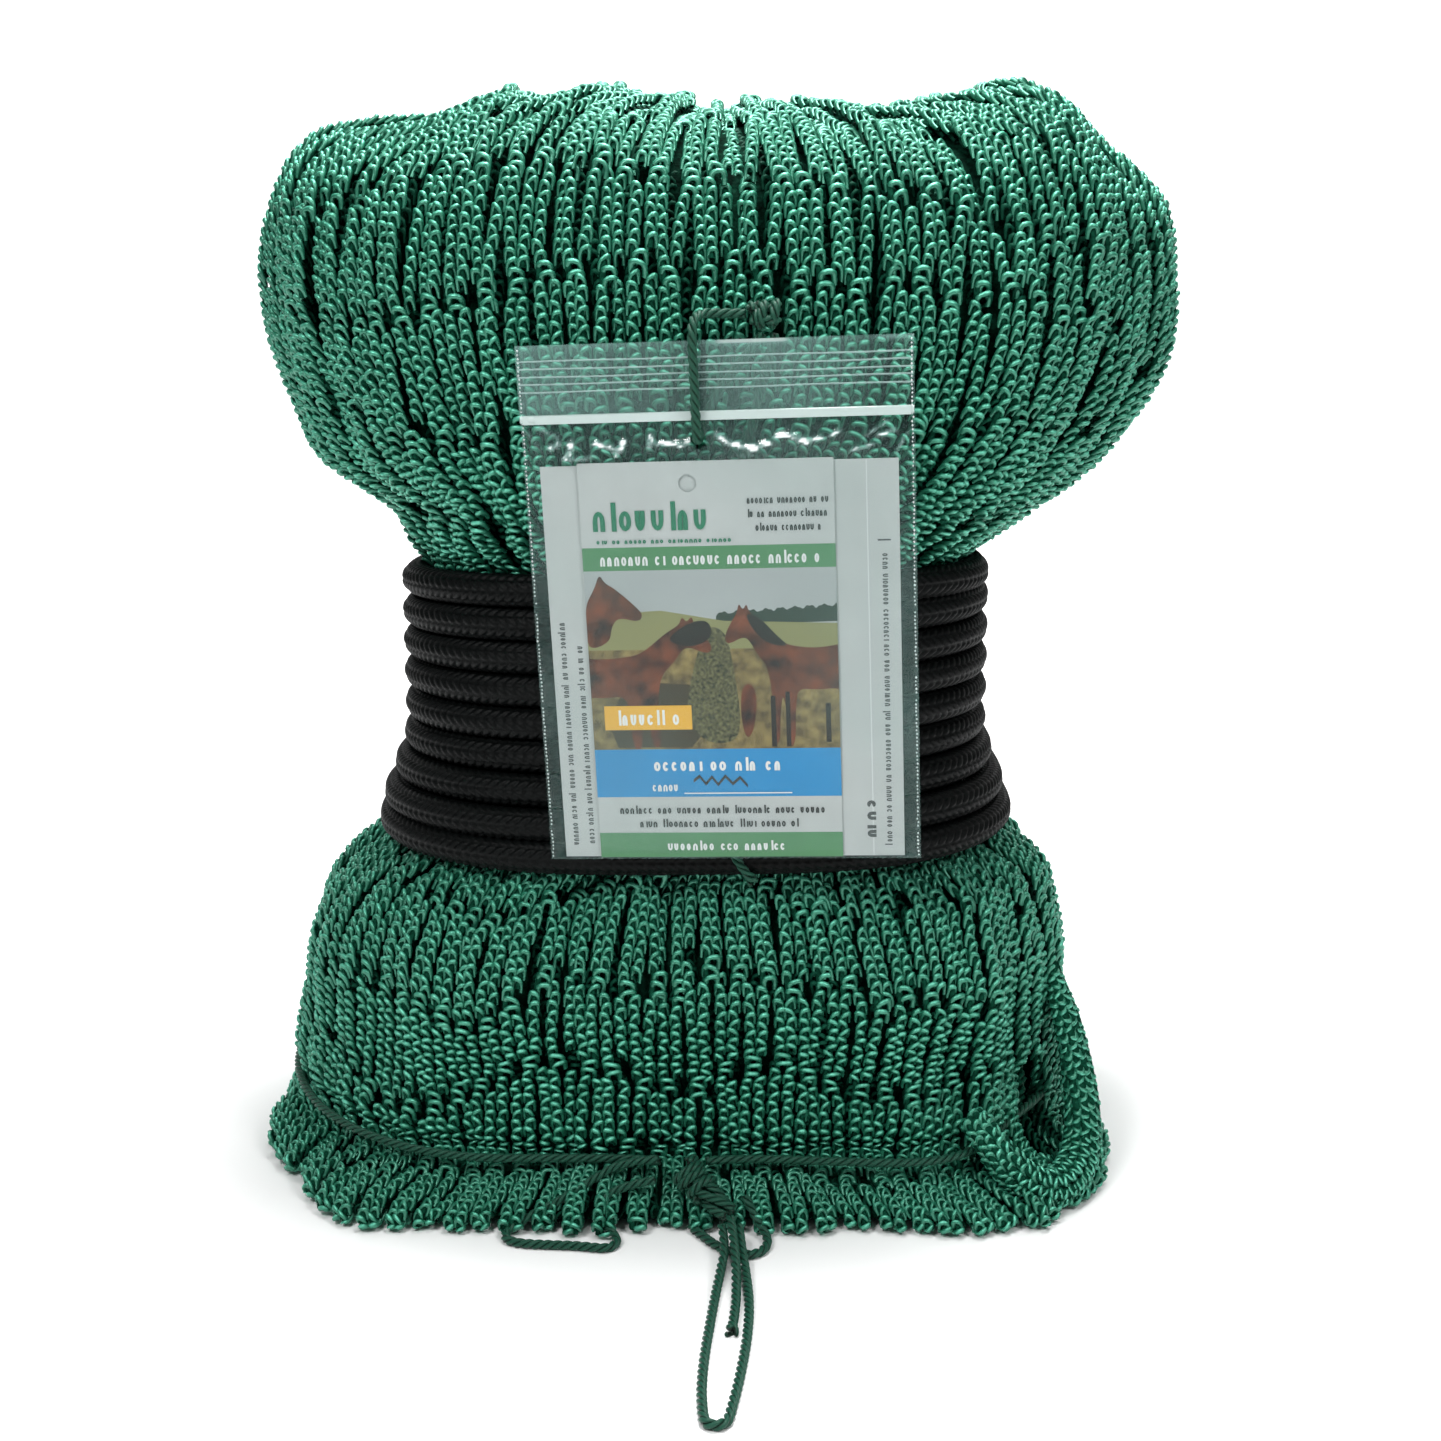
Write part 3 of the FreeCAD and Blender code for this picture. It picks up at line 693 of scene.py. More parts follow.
def sculpt(point, parted=True):
    """Move points, in metres, from the even CAD lobes to the bundle's real outline. parted also
    opens the fold at the side."""
    x, y, z = point[:, 0] / MM, point[:, 1] / MM, point[:, 2] / MM
    side = np.sign(x)
    # the crown is a little narrower, and pulled in low on the left
    dx = -2.0 * side * smooth((np.abs(x) - 110) / 50) * smooth((z - 290) / 20)
    dx += 13.0 * smooth((-x - 60) / 70) * bell(z, 277, 15)
    # the skirt is drawn in above the hem, and fuller under the rope on the right
    dx += -5.0 * side * smooth((np.abs(x) - 90) / 50) * bell(z, 80, 22)
    dx += 8.0 * smooth((x - 60) / 50) * bell(z, 126, 12)
    dz = np.interp(x, TOP_EDGE[:, 0], TOP_EDGE[:, 1]) * smooth((z - 385) / 50)
    # the foot's front corners spread on the floor, the right one further
    corner = smooth((x - 60) / 60) * smooth((-y - 30) / 50) * smooth((48 - z) / 30)
    left = smooth((-x - 70) / 70) * smooth((-y - 40) / 50) * smooth((40 - z) / 30)
    dx += 1.0 * corner + 4.0 * left
    dy = -15.0 * corner - 0.5 * left
    # the hem spreads forwards on the floor
    dy += -10.0 * smooth((-y - 70) / 30) * smooth((26 - z) / 22) * (1 - 0.6 * corner)
    point = point + np.stack([dx, dy, dz], -1) * MM
    return open_fold(point) if parted else point


# The fold at one side of the foot: a dark hollow between the strands, with the hem rolled up
# round its outer and lower edges
FOLD_AXIS = np.array([0.50, -0.83, 0.24]) / math.hypot(0.50, 0.83, 0.24)
FOLD_ACROSS = np.array([0.83, 0.50, 0.0]) / math.hypot(0.83, 0.50)
FOLD_HEART = np.array([139.0, -72.0, 27.0]) * MM


def open_fold(point):
    """Part the strands round the hollow, and turn the nearest ones inwards along its walls."""
    offset = point - FOLD_HEART
    across, rise = offset @ FOLD_ACROSS / MM, offset[:, 2] / MM
    facing = smooth((offset @ FOLD_AXIS / MM + 32) / 12)
    half = 9.5 * np.sqrt(np.clip(1 - (rise / 23) ** 2, 0, 1)) * (1 - 0.30 * smooth(rise / 22))
    side = np.where(across < 0, -1.0, 1.0)
    parted = side * np.sqrt(across ** 2 + half ** 2)
    inward = 12.0 * smooth((11 - np.abs(across)) / 11) * smooth(half / 8)
    return point + facing[:, None] * ((parted - across)[:, None] * FOLD_ACROSS
                                      - inward[:, None] * FOLD_AXIS) * MM


def crown():
    """The upper lobe: strands up the front, over the top and down the back."""
    top = CROWN_TOP - 0.5 * MM
    low = ROPE_TOP - 8 * MM
    swell = np.linspace(0, 1, 34)
    levels = low + (top - low) * (1 - (1 - swell) ** 1.6)
    lobe = Lobe(levels)
    surface_core("net_crown_core", lobe)
    path = np.linspace(0, len(levels) - 1.01, 70)
    parts, insides = strand_layer(lobe, 94, path, 21, True)
    pieces = gather("net_crown_strands", parts, NET)
    gather("net_crown_filling", insides, SHADE_FILLING)
    inner = strand_layer(lobe, 76, path, 22, True, coarse=True)[0]
    gather("net_crown_inner", inner, NET_SHADED)
    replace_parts(pieces[0], "net_crown")
    # the waist is only seen between the rope's turns, and takes the core's near black there as
    # painted shade
    paint_node("net_waist", SHADE_CORE)


def hem_tail(line, normals):
    """Below the hem each strand turns in under the bundle."""
    end, normal = line[0], normals[0].copy()
    normal[2] = 0
    normal = unit(normal)
    steps = np.linspace(0, 1, 7)[:, None]
    turned = end - normal * 14 * MM * steps + UP * 2.2 * MM * steps
    under = unit(normal * (1 - steps) * 0.7 - UP)
    return np.concatenate([turned[:0:-1], line]), np.concatenate([under[:0:-1], normals])


def skirt():
    """The lower lobe and its hem: strands from the rope down to the floor."""
    high = ROPE_FOOT + 12 * MM
    levels = np.concatenate([np.linspace(2.5 * MM, HEM_TOP - 0.2 * MM, 7),
                             np.linspace(HEM_TOP + 2 * MM, high, 22)])
    lobe = Lobe(levels)
    surface_core("net_skirt_core", lobe)
    path = np.linspace(0, len(levels) - 1.01, 56)
    parts, insides = strand_layer(lobe, 176, path, 31, False)
    pieces = gather("net_skirt_strands", parts, NET)
    gather("net_skirt_filling", insides, SHADE_FILLING)
    inner = strand_layer(lobe, 120, path, 32, False, coarse=True)[0]
    gather("net_skirt_inner", inner, NET_SHADED)
    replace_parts(pieces[0], "net_skirt", "net_hem")


# The middle of the rolled hem, from high on the outer side, down and in under the hollow
ROLL = [(141, -44, 84), (147, -54, 66), (151, -62, 46), (152.5, -71, 28), (149.5, -82, 13),
        (141, -95, 8), (130, -104, 9), (118, -107, 18), (109, -104.5, 31), (101, -99, 40)]


def side_fold():
    """Strands laid side by side round the roll's middle, thickest at its foot."""
    line = resample(nurbs_line("side_fold", np.array(ROLL) * MM), LINE_STEP)
    sides, ups = path_frames(line)
    t = np.linspace(0, 1, len(line))
    thick = np.interp(t, [0, 0.15, 0.45, 0.65, 0.85, 1], [2.0, 4.0, 5.0, 6.5, 5.2, 3.0]) * MM
    rng = np.random.default_rng(41)
    parts, insides = [], []
    count = 9
    for k in range(count):
        angle = 2 * math.pi * k / count + 1.1 * t
        normal = np.cos(angle)[:, None] * sides + np.sin(angle)[:, None] * ups
        wave = 1 + 0.10 * np.sin(9 * t + 1.3 * k)
        strand = line + normal * (thick * wave)[:, None]
        parts.append(knit(strand, normal, FINE, rng))
        insides.append(filling(strand, normal, 2.2 * MM))
    gather("net_side_fold_filling", insides, SHADE_FILLING)
    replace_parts(gather("net_side_fold_strands", parts, NET)[0], "net_side_fold")


# ---- Twine
TWINE_SIZE = 3.5 * MM
LAY = 11.0 * MM         # one full turn of the three strands
FRAY = 5 * MM           # a bare end opens over this length
TWINE_STEP = 0.8 * MM   # between the points of a twine's line


def laid(line, frayed):
    """Three strands laid round a line: vertices, triangles, UVs, and the painted highlight on each
    strand's outer side.
    """
    sides, ups = path_frames(line)
    s = along(line)
    around = 9
    angle = np.linspace(0, 2 * math.pi, around, endpoint=False)
    ring, side = np.divmod(np.arange(len(s) * around), around)
    parts = []
    for k in range(3):
        turn = 2 * math.pi * (s / LAY + k / 3)
        out = np.cos(turn)[:, None] * sides + np.sin(turn)[:, None] * ups
        spread = 1 + frayed * smooth((s - s[-1] + FRAY) / FRAY)
        centre = line + out * (0.285 * TWINE_SIZE * spread)[:, None]
        across, outward = strand_frames(centre, out)
        rings = tube_round(centre, 0.245 * TWINE_SIZE, outward, across, around)
        # the last column is painted light: a highlight on each strand's outer side, shade where the
        # strands meet
        parts.append((rings.reshape(-1, 3), closed_tube(len(s), around),
                      np.stack([side / around, s[ring] / LAY], -1),
                      smooth(0.5 + 0.62 * np.cos(angle))[side]))
    return merged(parts)


def laid_object(node, lines, body="bundle", frayed=0.0):
    """One mesh of twine along each of the lines, in place of a CAD node."""
    verts, faces, uvs, painted_highlights = merged([laid(line, frayed) for line in lines])
    obj = mesh_object(node + "_laid", verts, faces, TWINE, body)
    set_points(obj, "crest", painted_highlights)
    uv = obj.data.uv_layers.new(name="UVMap")
    index = np.empty(len(obj.data.loops), int)
    obj.data.loops.foreach_get("vertex_index", index)
    uv.data.foreach_set("uv", uvs[index].astype(np.float32).ravel())
    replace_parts(obj, node)
    return obj


def twine(node, route, far_end, body="bundle"):
    """A run of twine along the smooth line of its route, in place of its CAD node."""
    line = resample(nurbs_line(node + "_laid", np.array(route) * MM), TWINE_STEP)
    obj = laid_object(node, [line], body, 0.9 if far_end == "bare" else 0.0)


def wrap(start, end, radius, turns, phase=0.0, steps=24):
    """A helix round the line from start to end."""
    start, end = np.array(start) * MM, np.array(end) * MM
    axis = unit(end - start)
    side = unit(np.cross(axis, UP))
    up = np.cross(side, axis)
    t = np.linspace(0, 1, max(12, int(turns * steps)))[:, None]
    angle = 2 * math.pi * (turns * t + phase)
    return start + (end - start) * t + radius * MM * (np.cos(angle) * side + np.sin(angle) * up)


def knots():
    """The bow's knot, a bundle of runs with turns round its head, and the hanger's knot."""
    head, foot = (-11.5, -113.5, 22.5), (5.5, -125.3, 9.6)
    bow = [wrap(head, foot, 3.2, 0.55, k / 4, 60) for k in range(4)]
    bow += [wrap((-8.0, -116.0, 19.8), (-12.0, -113.3, 23.6), 5.3, 2.1, 0.2),
            wrap((-3.0, -119.4, 16.3), (-5.6, -117.6, 18.2), 5.0, 1.1, 0.55)]
    hanger = [wrap((13.2, -119.6, 350.0), (23.0, -119.6, 351.0), 3.7, 2.2, 0.1),
              wrap((15.0, -121.6, 354.0), (21.5, -121.0, 347.0), 1.9, 0.8, 0.4),
              wrap((14.0, -121.0, 347.2), (22.0, -120.4, 354.6), 1.7, 0.7)]
    for node, lines in (("bow_knot", bow), ("hanger_knot", hanger)):
        laid_object(node, [resample(line, TWINE_STEP) for line in lines])


def belt_point(x, y):
    """A point of the belt, whose plane rises towards the back."""
    return (x, y, BELT_FRONT / MM + BELT_SLOPE * (y - BELT_Y / MM))


BELT = [belt_point(x, y) for x, y in [
    (-3, -107.6), (8, -105.3), (42, -107.5), (78.8, -110), (101, -103), (117, -80),
    (136.5, -56), (152.5, -23.3), (152.5, 8), (152.5, 44.1), (138.5, 80.5), (113.5, 108.5),
    (78.8, 126.1), (33.5, 126.1), (-11.5, 126.1), (-56.5, 126.1), (-101.8, 126.1),
    (-139.4, 110.5), (-168.2, 81.7), (-183.8, 44.1), (-183.8, 8), (-183.8, -23.3),
    (-168.2, -60.9), (-139.4, -89.7), (-101.8, -105.3), (-65, -105.3), (-32, -105.3),
    (-21.5, -108)]]

LOOP_LEFT = [(-22, -113, 27), (-36, -111, 25), (-48, -113.5, 18.5), (-59, -117.5, 12.5),
             (-72, -120.5, 6.5), (-81, -125, 2.6), (-80.5, -131, 1.95), (-74, -134.5, 1.95),
             (-62, -135.5, 1.95), (-50, -136.5, 1.95), (-40.5, -139, 1.95), (-36.5, -133, 1.95),
             (-40, -125.5, 3), (-45, -121.5, 7.8), (-44, -118.5, 13), (-35, -117.5, 18),
             (-23, -118, 20.5)]

LOOP_RIGHT = [(-9, -120.2, 2.1), (-4.5, -128, 1.95), (2.3, -138.3, 1.95), (11, -144.5, 1.95),
              (18, -142, 1.95), (21, -134, 1.95), (19.5, -126.5, 3.2), (15.6, -123, 8.5),
              (12, -119.5, 14.5)]

LOOP_LONG = [(3, -134, 9), (4.5, -144, 5.8), (2.5, -158, 2.6), (0.5, -176, 1.95),
             (-1.2, -196, 1.95), (-3, -217, 1.95), (-3.9, -238, 1.95), (-3.4, -252, 1.95),
             (-2.4, -260.5, 1.95), (4.4, -260.5, 1.95), (6.2, -250.5, 1.95), (9, -231, 1.95),
             (11.8, -206, 1.95), (13, -182, 1.95), (12, -160, 2.4), (10.5, -146, 5.9),
             (9.5, -135, 9.5)]

BOW_TAIL = [(6.3, -134.5, 12.6), (7.5, -146, 9.2), (8.3, -160, 5.4), (8.3, -174, 2.4),
            (7.6, -188, 1.95), (6.3, -202, 1.95)]

HANGER_LOOP = [(11.3, -120, 351), (3, -120, 351), (-4.5, -121.5, 351.2), (-7.3, -130.2, 348.8),
               (-7.6, -131.7, 340.8), (-6.9, -130.4, 329), (-6.5, -129.2, 319),
               (-6.2, -128.5, 311.8), (-5.9, -127.8, 306.2), (-5, -119, 307.2),
               (-2.5, -119.8, 316), (3.5, -120, 326), (11, -120.2, 335.5), (17.4, -120, 343.9)]

HANGER_TAIL = [(22, -116.7, 343.9), (19, -116.4, 332), (14.5, -114.8, 314), (10, -111.8, 293),
               (7, -108, 268), (5, -104, 243), (4, -102.5, 218), (3.5, -101.5, 193),
               (3.5, -101.2, 169), (5, -101, 153), (9.5, -101.2, 143), (15.5, -101.5, 136)]


def twines():
    """The belt, its bow, and the hanger twine. Only the hanger's loop moves with the pouch."""
    twine("belt_twine", BELT, "object")
    twine("bow_loop_left", LOOP_LEFT, "object")
    twine("bow_loop_right", LOOP_RIGHT, "object")
    twine("bow_loop_long", LOOP_LONG, "object")
    twine("bow_tail", BOW_TAIL, "bare")
    twine("hanger_loop", HANGER_LOOP, "object", "pouch")
    twine("hanger_tail", HANGER_TAIL, "bare")


# ---- Drawstring rope
ROPE_SIZE = 12.7 * MM
ROPE_PITCH = 13 * MM
FLARE = 13 * MM         # how far the waist spreads at its top and foot
ROPE_GAP = 0.3 * MM     # between the rope and the waist
PLAIT = 4.0 * MM        # one plait along the rope
ROPE_COLUMNS = 8        # plaits round the rope


def rope_turns():
    """Control points of the wound rope, from the box of the waist it lies on."""
    (x0, y0), (x1, y1) = (end[:2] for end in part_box("net_waist"))
    out = ROPE_GAP + ROPE_SIZE / 2
    half_x, half_y = (x1 - x0) / 2 - FLARE + out, (y1 - y0) / 2 - FLARE + out
    corner = 0.8 * ((y1 - y0) / 2 - FLARE) + out
    first, last = 0.02, 8.98        # the nine turns, less their tucked ends
    count = int((last - first) * 28)
    loose = wander(1, 5, 2.0)
    points = []
    for k in range(count + 1):
        turn = first + (last - first) * k / count
        z = ROPE_TOP - ROPE_PITCH / 2 - ROPE_PITCH * np.clip(turn - 0.5, 0, 8)
        flare = 12.5 * MM * smooth((ROPE_FOOT + 50 * MM - z) / (46 * MM))
        tuck = 9 * MM * (smooth((0.14 - turn) / 0.12) + smooth((turn - 8.86) / 0.12))
        grow = flare - tuck + 0.6 * MM
        x, y = oval_spot(turn, half_x + grow, half_y + grow, corner + grow)
        points.append(((x0 + x1) / 2 + x, (y0 + y1) / 2 + y, z + 0.25 * MM * loose(turn * 3.0)))
    return points


def oval_spot(turn, half_x, half_y, corner):
    """A point of a rounded rectangle, by fraction of its length, from the back centre."""
    flat_x, flat_y = half_x - corner, half_y - corner
    arc = corner * math.pi / 2
    length = 4 * (flat_x + flat_y + arc)
    s = (turn % 1.0) * length
    x, y, heading = 0.0, half_y, 0.0
    runs = (flat_x, 2 * flat_y, 2 * flat_x, 2 * flat_y, flat_x)
    for k, run in enumerate(runs):
        step = min(s, run)
        x, y = x + step * math.cos(heading), y + step * math.sin(heading)
        bend = min(s - step, arc if k < 4 else 0.0) / corner
        x += corner * (math.sin(heading) - math.sin(heading - bend))
        y += corner * (math.cos(heading - bend) - math.cos(heading))
        heading -= bend
        s = max(s - run - arc, 0.0)
    return x, y


def rope():
    """The wound rope, as one tube with raised plaits."""
    line = resample(nurbs_line("rope", rope_turns(), 8), 0.85 * MM)
    sides, ups = path_frames(line)
    s = along(line)
    around = 56
    column = np.arange(around) / around * ROPE_COLUMNS
    lean = np.floor(column).astype(int) % 2 * 2 - 1
    x = (column % 1) * 2 - 1
    # slanted plaits, leaning one way and the other in turn: a herringbone
    phase = s[:, None] / PLAIT + 0.55 * lean * x
    ridge = np.abs(np.cos(math.pi * phase)) ** 0.6
    relief = 1.15 * MM * ridge * (0.30 + 0.70 * (1 - np.abs(x) ** 5)) - 0.85 * MM
    radius = (ROPE_SIZE / 2 + relief)[..., None]
    verts = tube_round(line, radius, sides, ups, around).reshape(-1, 3)
    obj = mesh_object("rope_braided", verts, closed_tube(len(s), around), ROPE)
    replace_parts(obj, "rope_coil")


# ---- Pouch and papers
POUCH_AT = np.array([3.8, -116.0, 244.5]) * MM
POUCH_TURN = np.array((Matrix.Rotation(math.radians(-6), 3, "Z")
                       @ Matrix.Rotation(math.radians(-1.8), 3, "Y")
                       @ Matrix.Rotation(math.radians(96), 3, "X")))
POUCH_HALF, POUCH_TALL = 71.0, 98.0     # mm, half the width and half the height
HOLE = (-6.5, 63.0, 3.0)                # across, up and radius of the hang hole
LIP_FOOT, ZIP_LEVEL = 68.0, 71.7        # where the flat lip above the papers starts, and its zip
LEAFLET_FACE = 1.545                    # how far out the leaflets' faces stand
PAPER = paper_material("paper_white", (0.38, 0.42, 0.415))


def on_pouch(u, v, w):
    """Pouch coordinates in mm (across, up, out) to a place."""
    local = np.stack(np.broadcast_arrays(*(np.asarray(c, float) for c in (u, v, w))), -1) * MM
    return POUCH_AT + local @ POUCH_TURN.T


# Puckers in the front film: across, up, angle in degrees, half length, half width, height
PUCKERS = [
    (-59, 62, 20, 2.6, 1.5, 1.3), (-53, 61, 75, 4, 1.5, 1.5), (-41, 62, -15, 4.5, 1.3, 1.4),
    (-34.5, 61, 60, 4.2, 1.5, 1.6), (-24, 63, 80, 3.4, 1.4, 1.4), (-17, 62, -5, 5.5, 1.2, 1.4),
    (-11, 62, 30, 3.2, 1.2, 1.2), (2.3, 63.5, -35, 4, 1.3, 1.4), (9.5, 60.5, -10, 5, 1.3, 1.5),
    (16, 60.5, 15, 4.8, 1.4, 1.5), (24, 64, 10, 4.2, 1.2, 1.3), (30, 62.5, -20, 4.2, 1.4, 1.5),
    (36, 62.5, 5, 3.8, 1.2, 1.3), (43, 64.5, 25, 3.2, 1.2, 1.1), (61, 64, 20, 4.6, 1.1, 1.2),
    (-62, 68, -35, 8, 1, 0.9), (-66, 64, -50, 9, 1, 0.8), (58, 66, 28, 8, 0.9, 0.9),
    (66, 60, 60, 9, 1, 0.9), (-60, 20, 86, 16, 2.2, 0.9), (67, 10, 88, 18, 1.6, 1),
    (-66.5, -30, 92, 20, 1.5, 0.9), (67, -55, 86, 20, 1.6, 1.1), (60, -88, -20, 8, 1.4, 0.8),
    (52, 59, 10, 6, 1.4, 1), (-50, 57.5, 5, 9, 1.2, 0.9), (12, 57, -3, 16, 0.9, 0.7)]


def front_film(u, v):
    """How far out the front film stands, and how much each point puckers."""
    edge = np.minimum(POUCH_HALF - np.abs(u), v + POUCH_TALL)
    full = 0.7 + 2.7 * smooth(edge / 5.0)
    lip = smooth((v - LIP_FOOT) / 4)
    out = full * (1 - lip) + 2.3 * lip
    out = out + 0.42 * WAVE(u / 13.0, v / 19.0) * smooth(edge / 3) * (1 - 0.55 * lip)
    pucker = np.zeros_like(out)
    for u0, v0, angle, length, width, height in PUCKERS:
        c, s = math.cos(math.radians(angle)), math.sin(math.radians(angle))
        a, b = (u - u0) * c + (v - v0) * s, -(u - u0) * s + (v - v0) * c
        b = b + 0.10 * a * np.sin(a * 0.9 + u0)
        pucker = pucker + height * np.exp(-(b / width) ** 2 - (a / length) ** 4)
    return out + pucker, pucker


WAVE, MILK_AND_REFLECTION, GLINT = wander(2, 61), wander(2, 62), wander(2, 63)


def film_sheet(name, out_of, haze_and_glint_of, material, step):
    """One side of the pouch, with the hang hole, as far out and as milky as two functions say,
    painted glints included.
    """
    columns, rows = int(2 * POUCH_HALF / step), int(2 * POUCH_TALL / step)
    u, v = np.meshgrid(np.linspace(-POUCH_HALF, POUCH_HALF, columns),
                       np.linspace(-POUCH_TALL, POUCH_TALL, rows))
    u, v = u.ravel(), v.ravel()
    quads = tube_faces(rows, columns, closed_ring=False)
    from_hole = np.hypot(u - HOLE[0], v - HOLE[1])
    quads = quads[(from_hole[quads] > HOLE[2] * 0.8).all(1)]
    obj = mesh_object(name, on_pouch(u, v, out_of(u, v)), quads, material, "pouch")
    set_points(obj, "haze_and_glint", np.clip(haze_and_glint_of(u, v), 0, 1))
    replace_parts(obj, name + "_film")


def front_haze(u, v):
    """Milkier above the zip and along the edges, with painted glints: white where it puckers and
    along the top.
    """
    pucker = front_film(u, v)[1]
    lip = smooth((v - LIP_FOOT - 2) / 3)
    # the film's own milkiness, in soft blotches of painted reflection
    milk = 0.075 + 0.03 * MILK_AND_REFLECTION(u / 22.0, v / 16.0)
    # the lip above the zip is milkier, and lighter towards the left and in blotches as painted
    # reflection
    milk = milk + lip * (0.12 + 0.07 * np.clip(-u / 60, -1, 1) + 0.04 * MILK_AND_REFLECTION(u / 14.0, v / 30.0))
    edge = np.minimum(POUCH_HALF - np.abs(u), v + POUCH_TALL)
    milk = milk + 0.10 * bell(edge, 0, 1.2)
    # painted glints: the crests of the puckers turn white and nearly opaque
    crest = smooth((pucker - 0.5) / 0.7) * (v < 69) * (v > 56)
    crest = crest * (0.45 + 0.55 * smooth(0.6 + GLINT(u / 1.3, v / 1.3)))
    # a painted glint along the top edge
    top_glint = bell(v, POUCH_TALL - 0.5, 1.2) * (0.08 + 0.3 * smooth(MILK_AND_REFLECTION(u / 9.0, 3.0)))
    return milk + 0.85 * crest + top_glint


def back_haze(u, v):
    """A faint even milkiness, a little more above the zip, with faint blotches of painted
    reflection.
    """
    return 0.035 + 0.04 * smooth((v - LIP_FOOT - 2) / 3) + 0.02 * MILK_AND_REFLECTION(u / 15.0, v / 15.0)


def print_layer(name, outlines, body, material, level):
    """Printed patches of one ink, joined in one mesh, this far out from the pouch's middle."""
    verts, faces = [], []
    for outline in outlines:
        outline = np.asarray(outline, float)
        area = np.sum(outline[:, 0] * np.roll(outline[:, 1], -1)
                      - np.roll(outline[:, 0], -1) * outline[:, 1])
        if area < 0:
            outline = outline[::-1]
        faces.append(tuple(range(len(verts), len(verts) + len(outline))))
        verts += on_pouch(outline[:, 0], outline[:, 1], np.full(len(outline), level)).tolist()
    mesh = bpy.data.meshes.new(name)
    mesh.from_pydata(verts, [], faces)
    mesh.materials.append(material)
    obj = add_object(name, mesh)
    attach(obj, body)


def bar(x0, y0, x1, y1):
    """The corners of an upright rectangle."""
    return [(x0, y0), (x1, y0), (x1, y1), (x0, y1)]


# The card's left edge, width, foot and height in mm
CARD_LEFT, CARD_WIDE, CARD_FOOT, CARD_TALL = -51.2, 93.0, -96.6, 152.0


def card_spot(x, y):
    """A place on the card, from fractions of its width (left to right) and height (top down)."""
    return CARD_LEFT + CARD_WIDE * x, CARD_FOOT + CARD_TALL * (1 - y)


def card_shape(*spots):
    """An outline on the card."""
    return [card_spot(x, y) for x, y in spots]


def card_bar(x0, y0, x1, y1):
    """An upright rectangle on the card."""
    return card_shape(*bar(x0, y0, x1, y1))


def mark_strokes(kind, pen_across, pen_down):
    """One meaningless printed mark in a unit box, as thin strokes: a stem, or part of a ring."""
    if kind == "stem":
        return [bar(0.5 - pen_across / 2, 0, 0.5 + pen_across / 2, 1)]
    kept = {"ring": range(12), "hook": range(1, 11), "arch": range(3, 9), "cup": range(-3, 3)}
    strokes = []
    for k in kept[kind]:
        corners = []
        for turn, inner in ((k, 0), (k + 1, 0), (k + 1, 1), (k, 1)):
            angle = 2 * math.pi * turn / 12
            across, down = math.sin(angle), math.cos(angle)
            if kind == "hook":
                across, down = down, across
            corners.append((0.5 + across * (0.5 - inner * pen_across),
                            0.5 + down * (0.5 - inner * pen_down)))
        strokes.append(corners)
    if kind in ("arch", "cup"):
        low, high = (0.5, 1.0) if kind == "arch" else (0.0, 0.5)
        for edge in (0.0, 1.0 - pen_across):
            strokes.append(bar(edge, low, edge + pen_across, high))
    return strokes


PEN = 0.30              # the stroke of a mark, as a share of its step


def glyph_row(x0, x1, y0, y1, seed, step=0.016, place=card_spot):
    """A row of meaningless marks, in uneven groups, that stands for a line of print. place
    turns a spot in the row into a place on the paper."""
    rng = np.random.default_rng(seed)
    rows, x = [], x0
    while x < x1 - step:
        for _ in range(rng.integers(2, 9)):
            if x > x1 - step:
                break
            kind = str(rng.choice(["stem", "ring", "arch", "hook", "cup", "ring", "arch"]))
            rise = 0.0 if kind == "stem" and rng.random() < 0.6 else 0.30
            top = y0 + (y1 - y0) * rise
            wide = step * rng.uniform(0.62, 0.78)
            corner = Vector(place(x, top))
            across, down = Vector(place(x + wide, top)) - corner, Vector(place(x, y1)) - corner
            pen = PEN * across.length / (wide / step)
            strokes = mark_strokes(kind, pen / across.length, pen / down.length)
            rows += [[tuple(corner + across * u + down * v) for u, v in stroke]
                     for stroke in strokes]
            x += step * (0.62 if kind == "stem" else 1.0)
        x += step * 0.8
    return rows


# A plain horse seen from the side, facing left: fractions of its box, from its top left
HORSE = [(0.00, 0.235), (0.035, 0.15), (0.085, 0.075), (0.10, 0.0), (0.125, 0.055), (0.15, 0.005),
         (0.165, 0.07), (0.23, 0.12), (0.31, 0.21), (0.37, 0.275), (0.45, 0.30), (0.58, 0.315),
         (0.72, 0.295), (0.83, 0.27), (0.92, 0.30), (0.975, 0.37), (1.0, 0.50), (0.985, 0.66),
         (0.965, 0.60), (0.955, 0.68), (0.975, 0.80), (0.965, 0.97), (0.92, 0.985), (0.915, 0.82),
         (0.875, 0.68), (0.86, 0.83), (0.85, 0.985), (0.80, 0.985), (0.81, 0.80), (0.80, 0.64),
         (0.72, 0.585), (0.58, 0.60), (0.46, 0.585), (0.445, 0.72), (0.435, 0.985), (0.385, 0.985),
         (0.385, 0.75), (0.365, 0.62), (0.345, 0.74), (0.335, 0.97), (0.285, 0.97), (0.30, 0.74),
         (0.285, 0.52), (0.26, 0.42), (0.20, 0.34), (0.155, 0.245), (0.11, 0.235), (0.05, 0.27),
         (0.015, 0.275)]


def rounded(outline):
    """A closed outline with its corners cut twice."""
    outline = np.asarray(outline, float)
    for _ in range(2):
        after = np.roll(outline, -1, 0)
        outline = np.stack([0.75 * outline + 0.25 * after,
                            0.25 * outline + 0.75 * after], 1).reshape(-1, 2)
    return outline


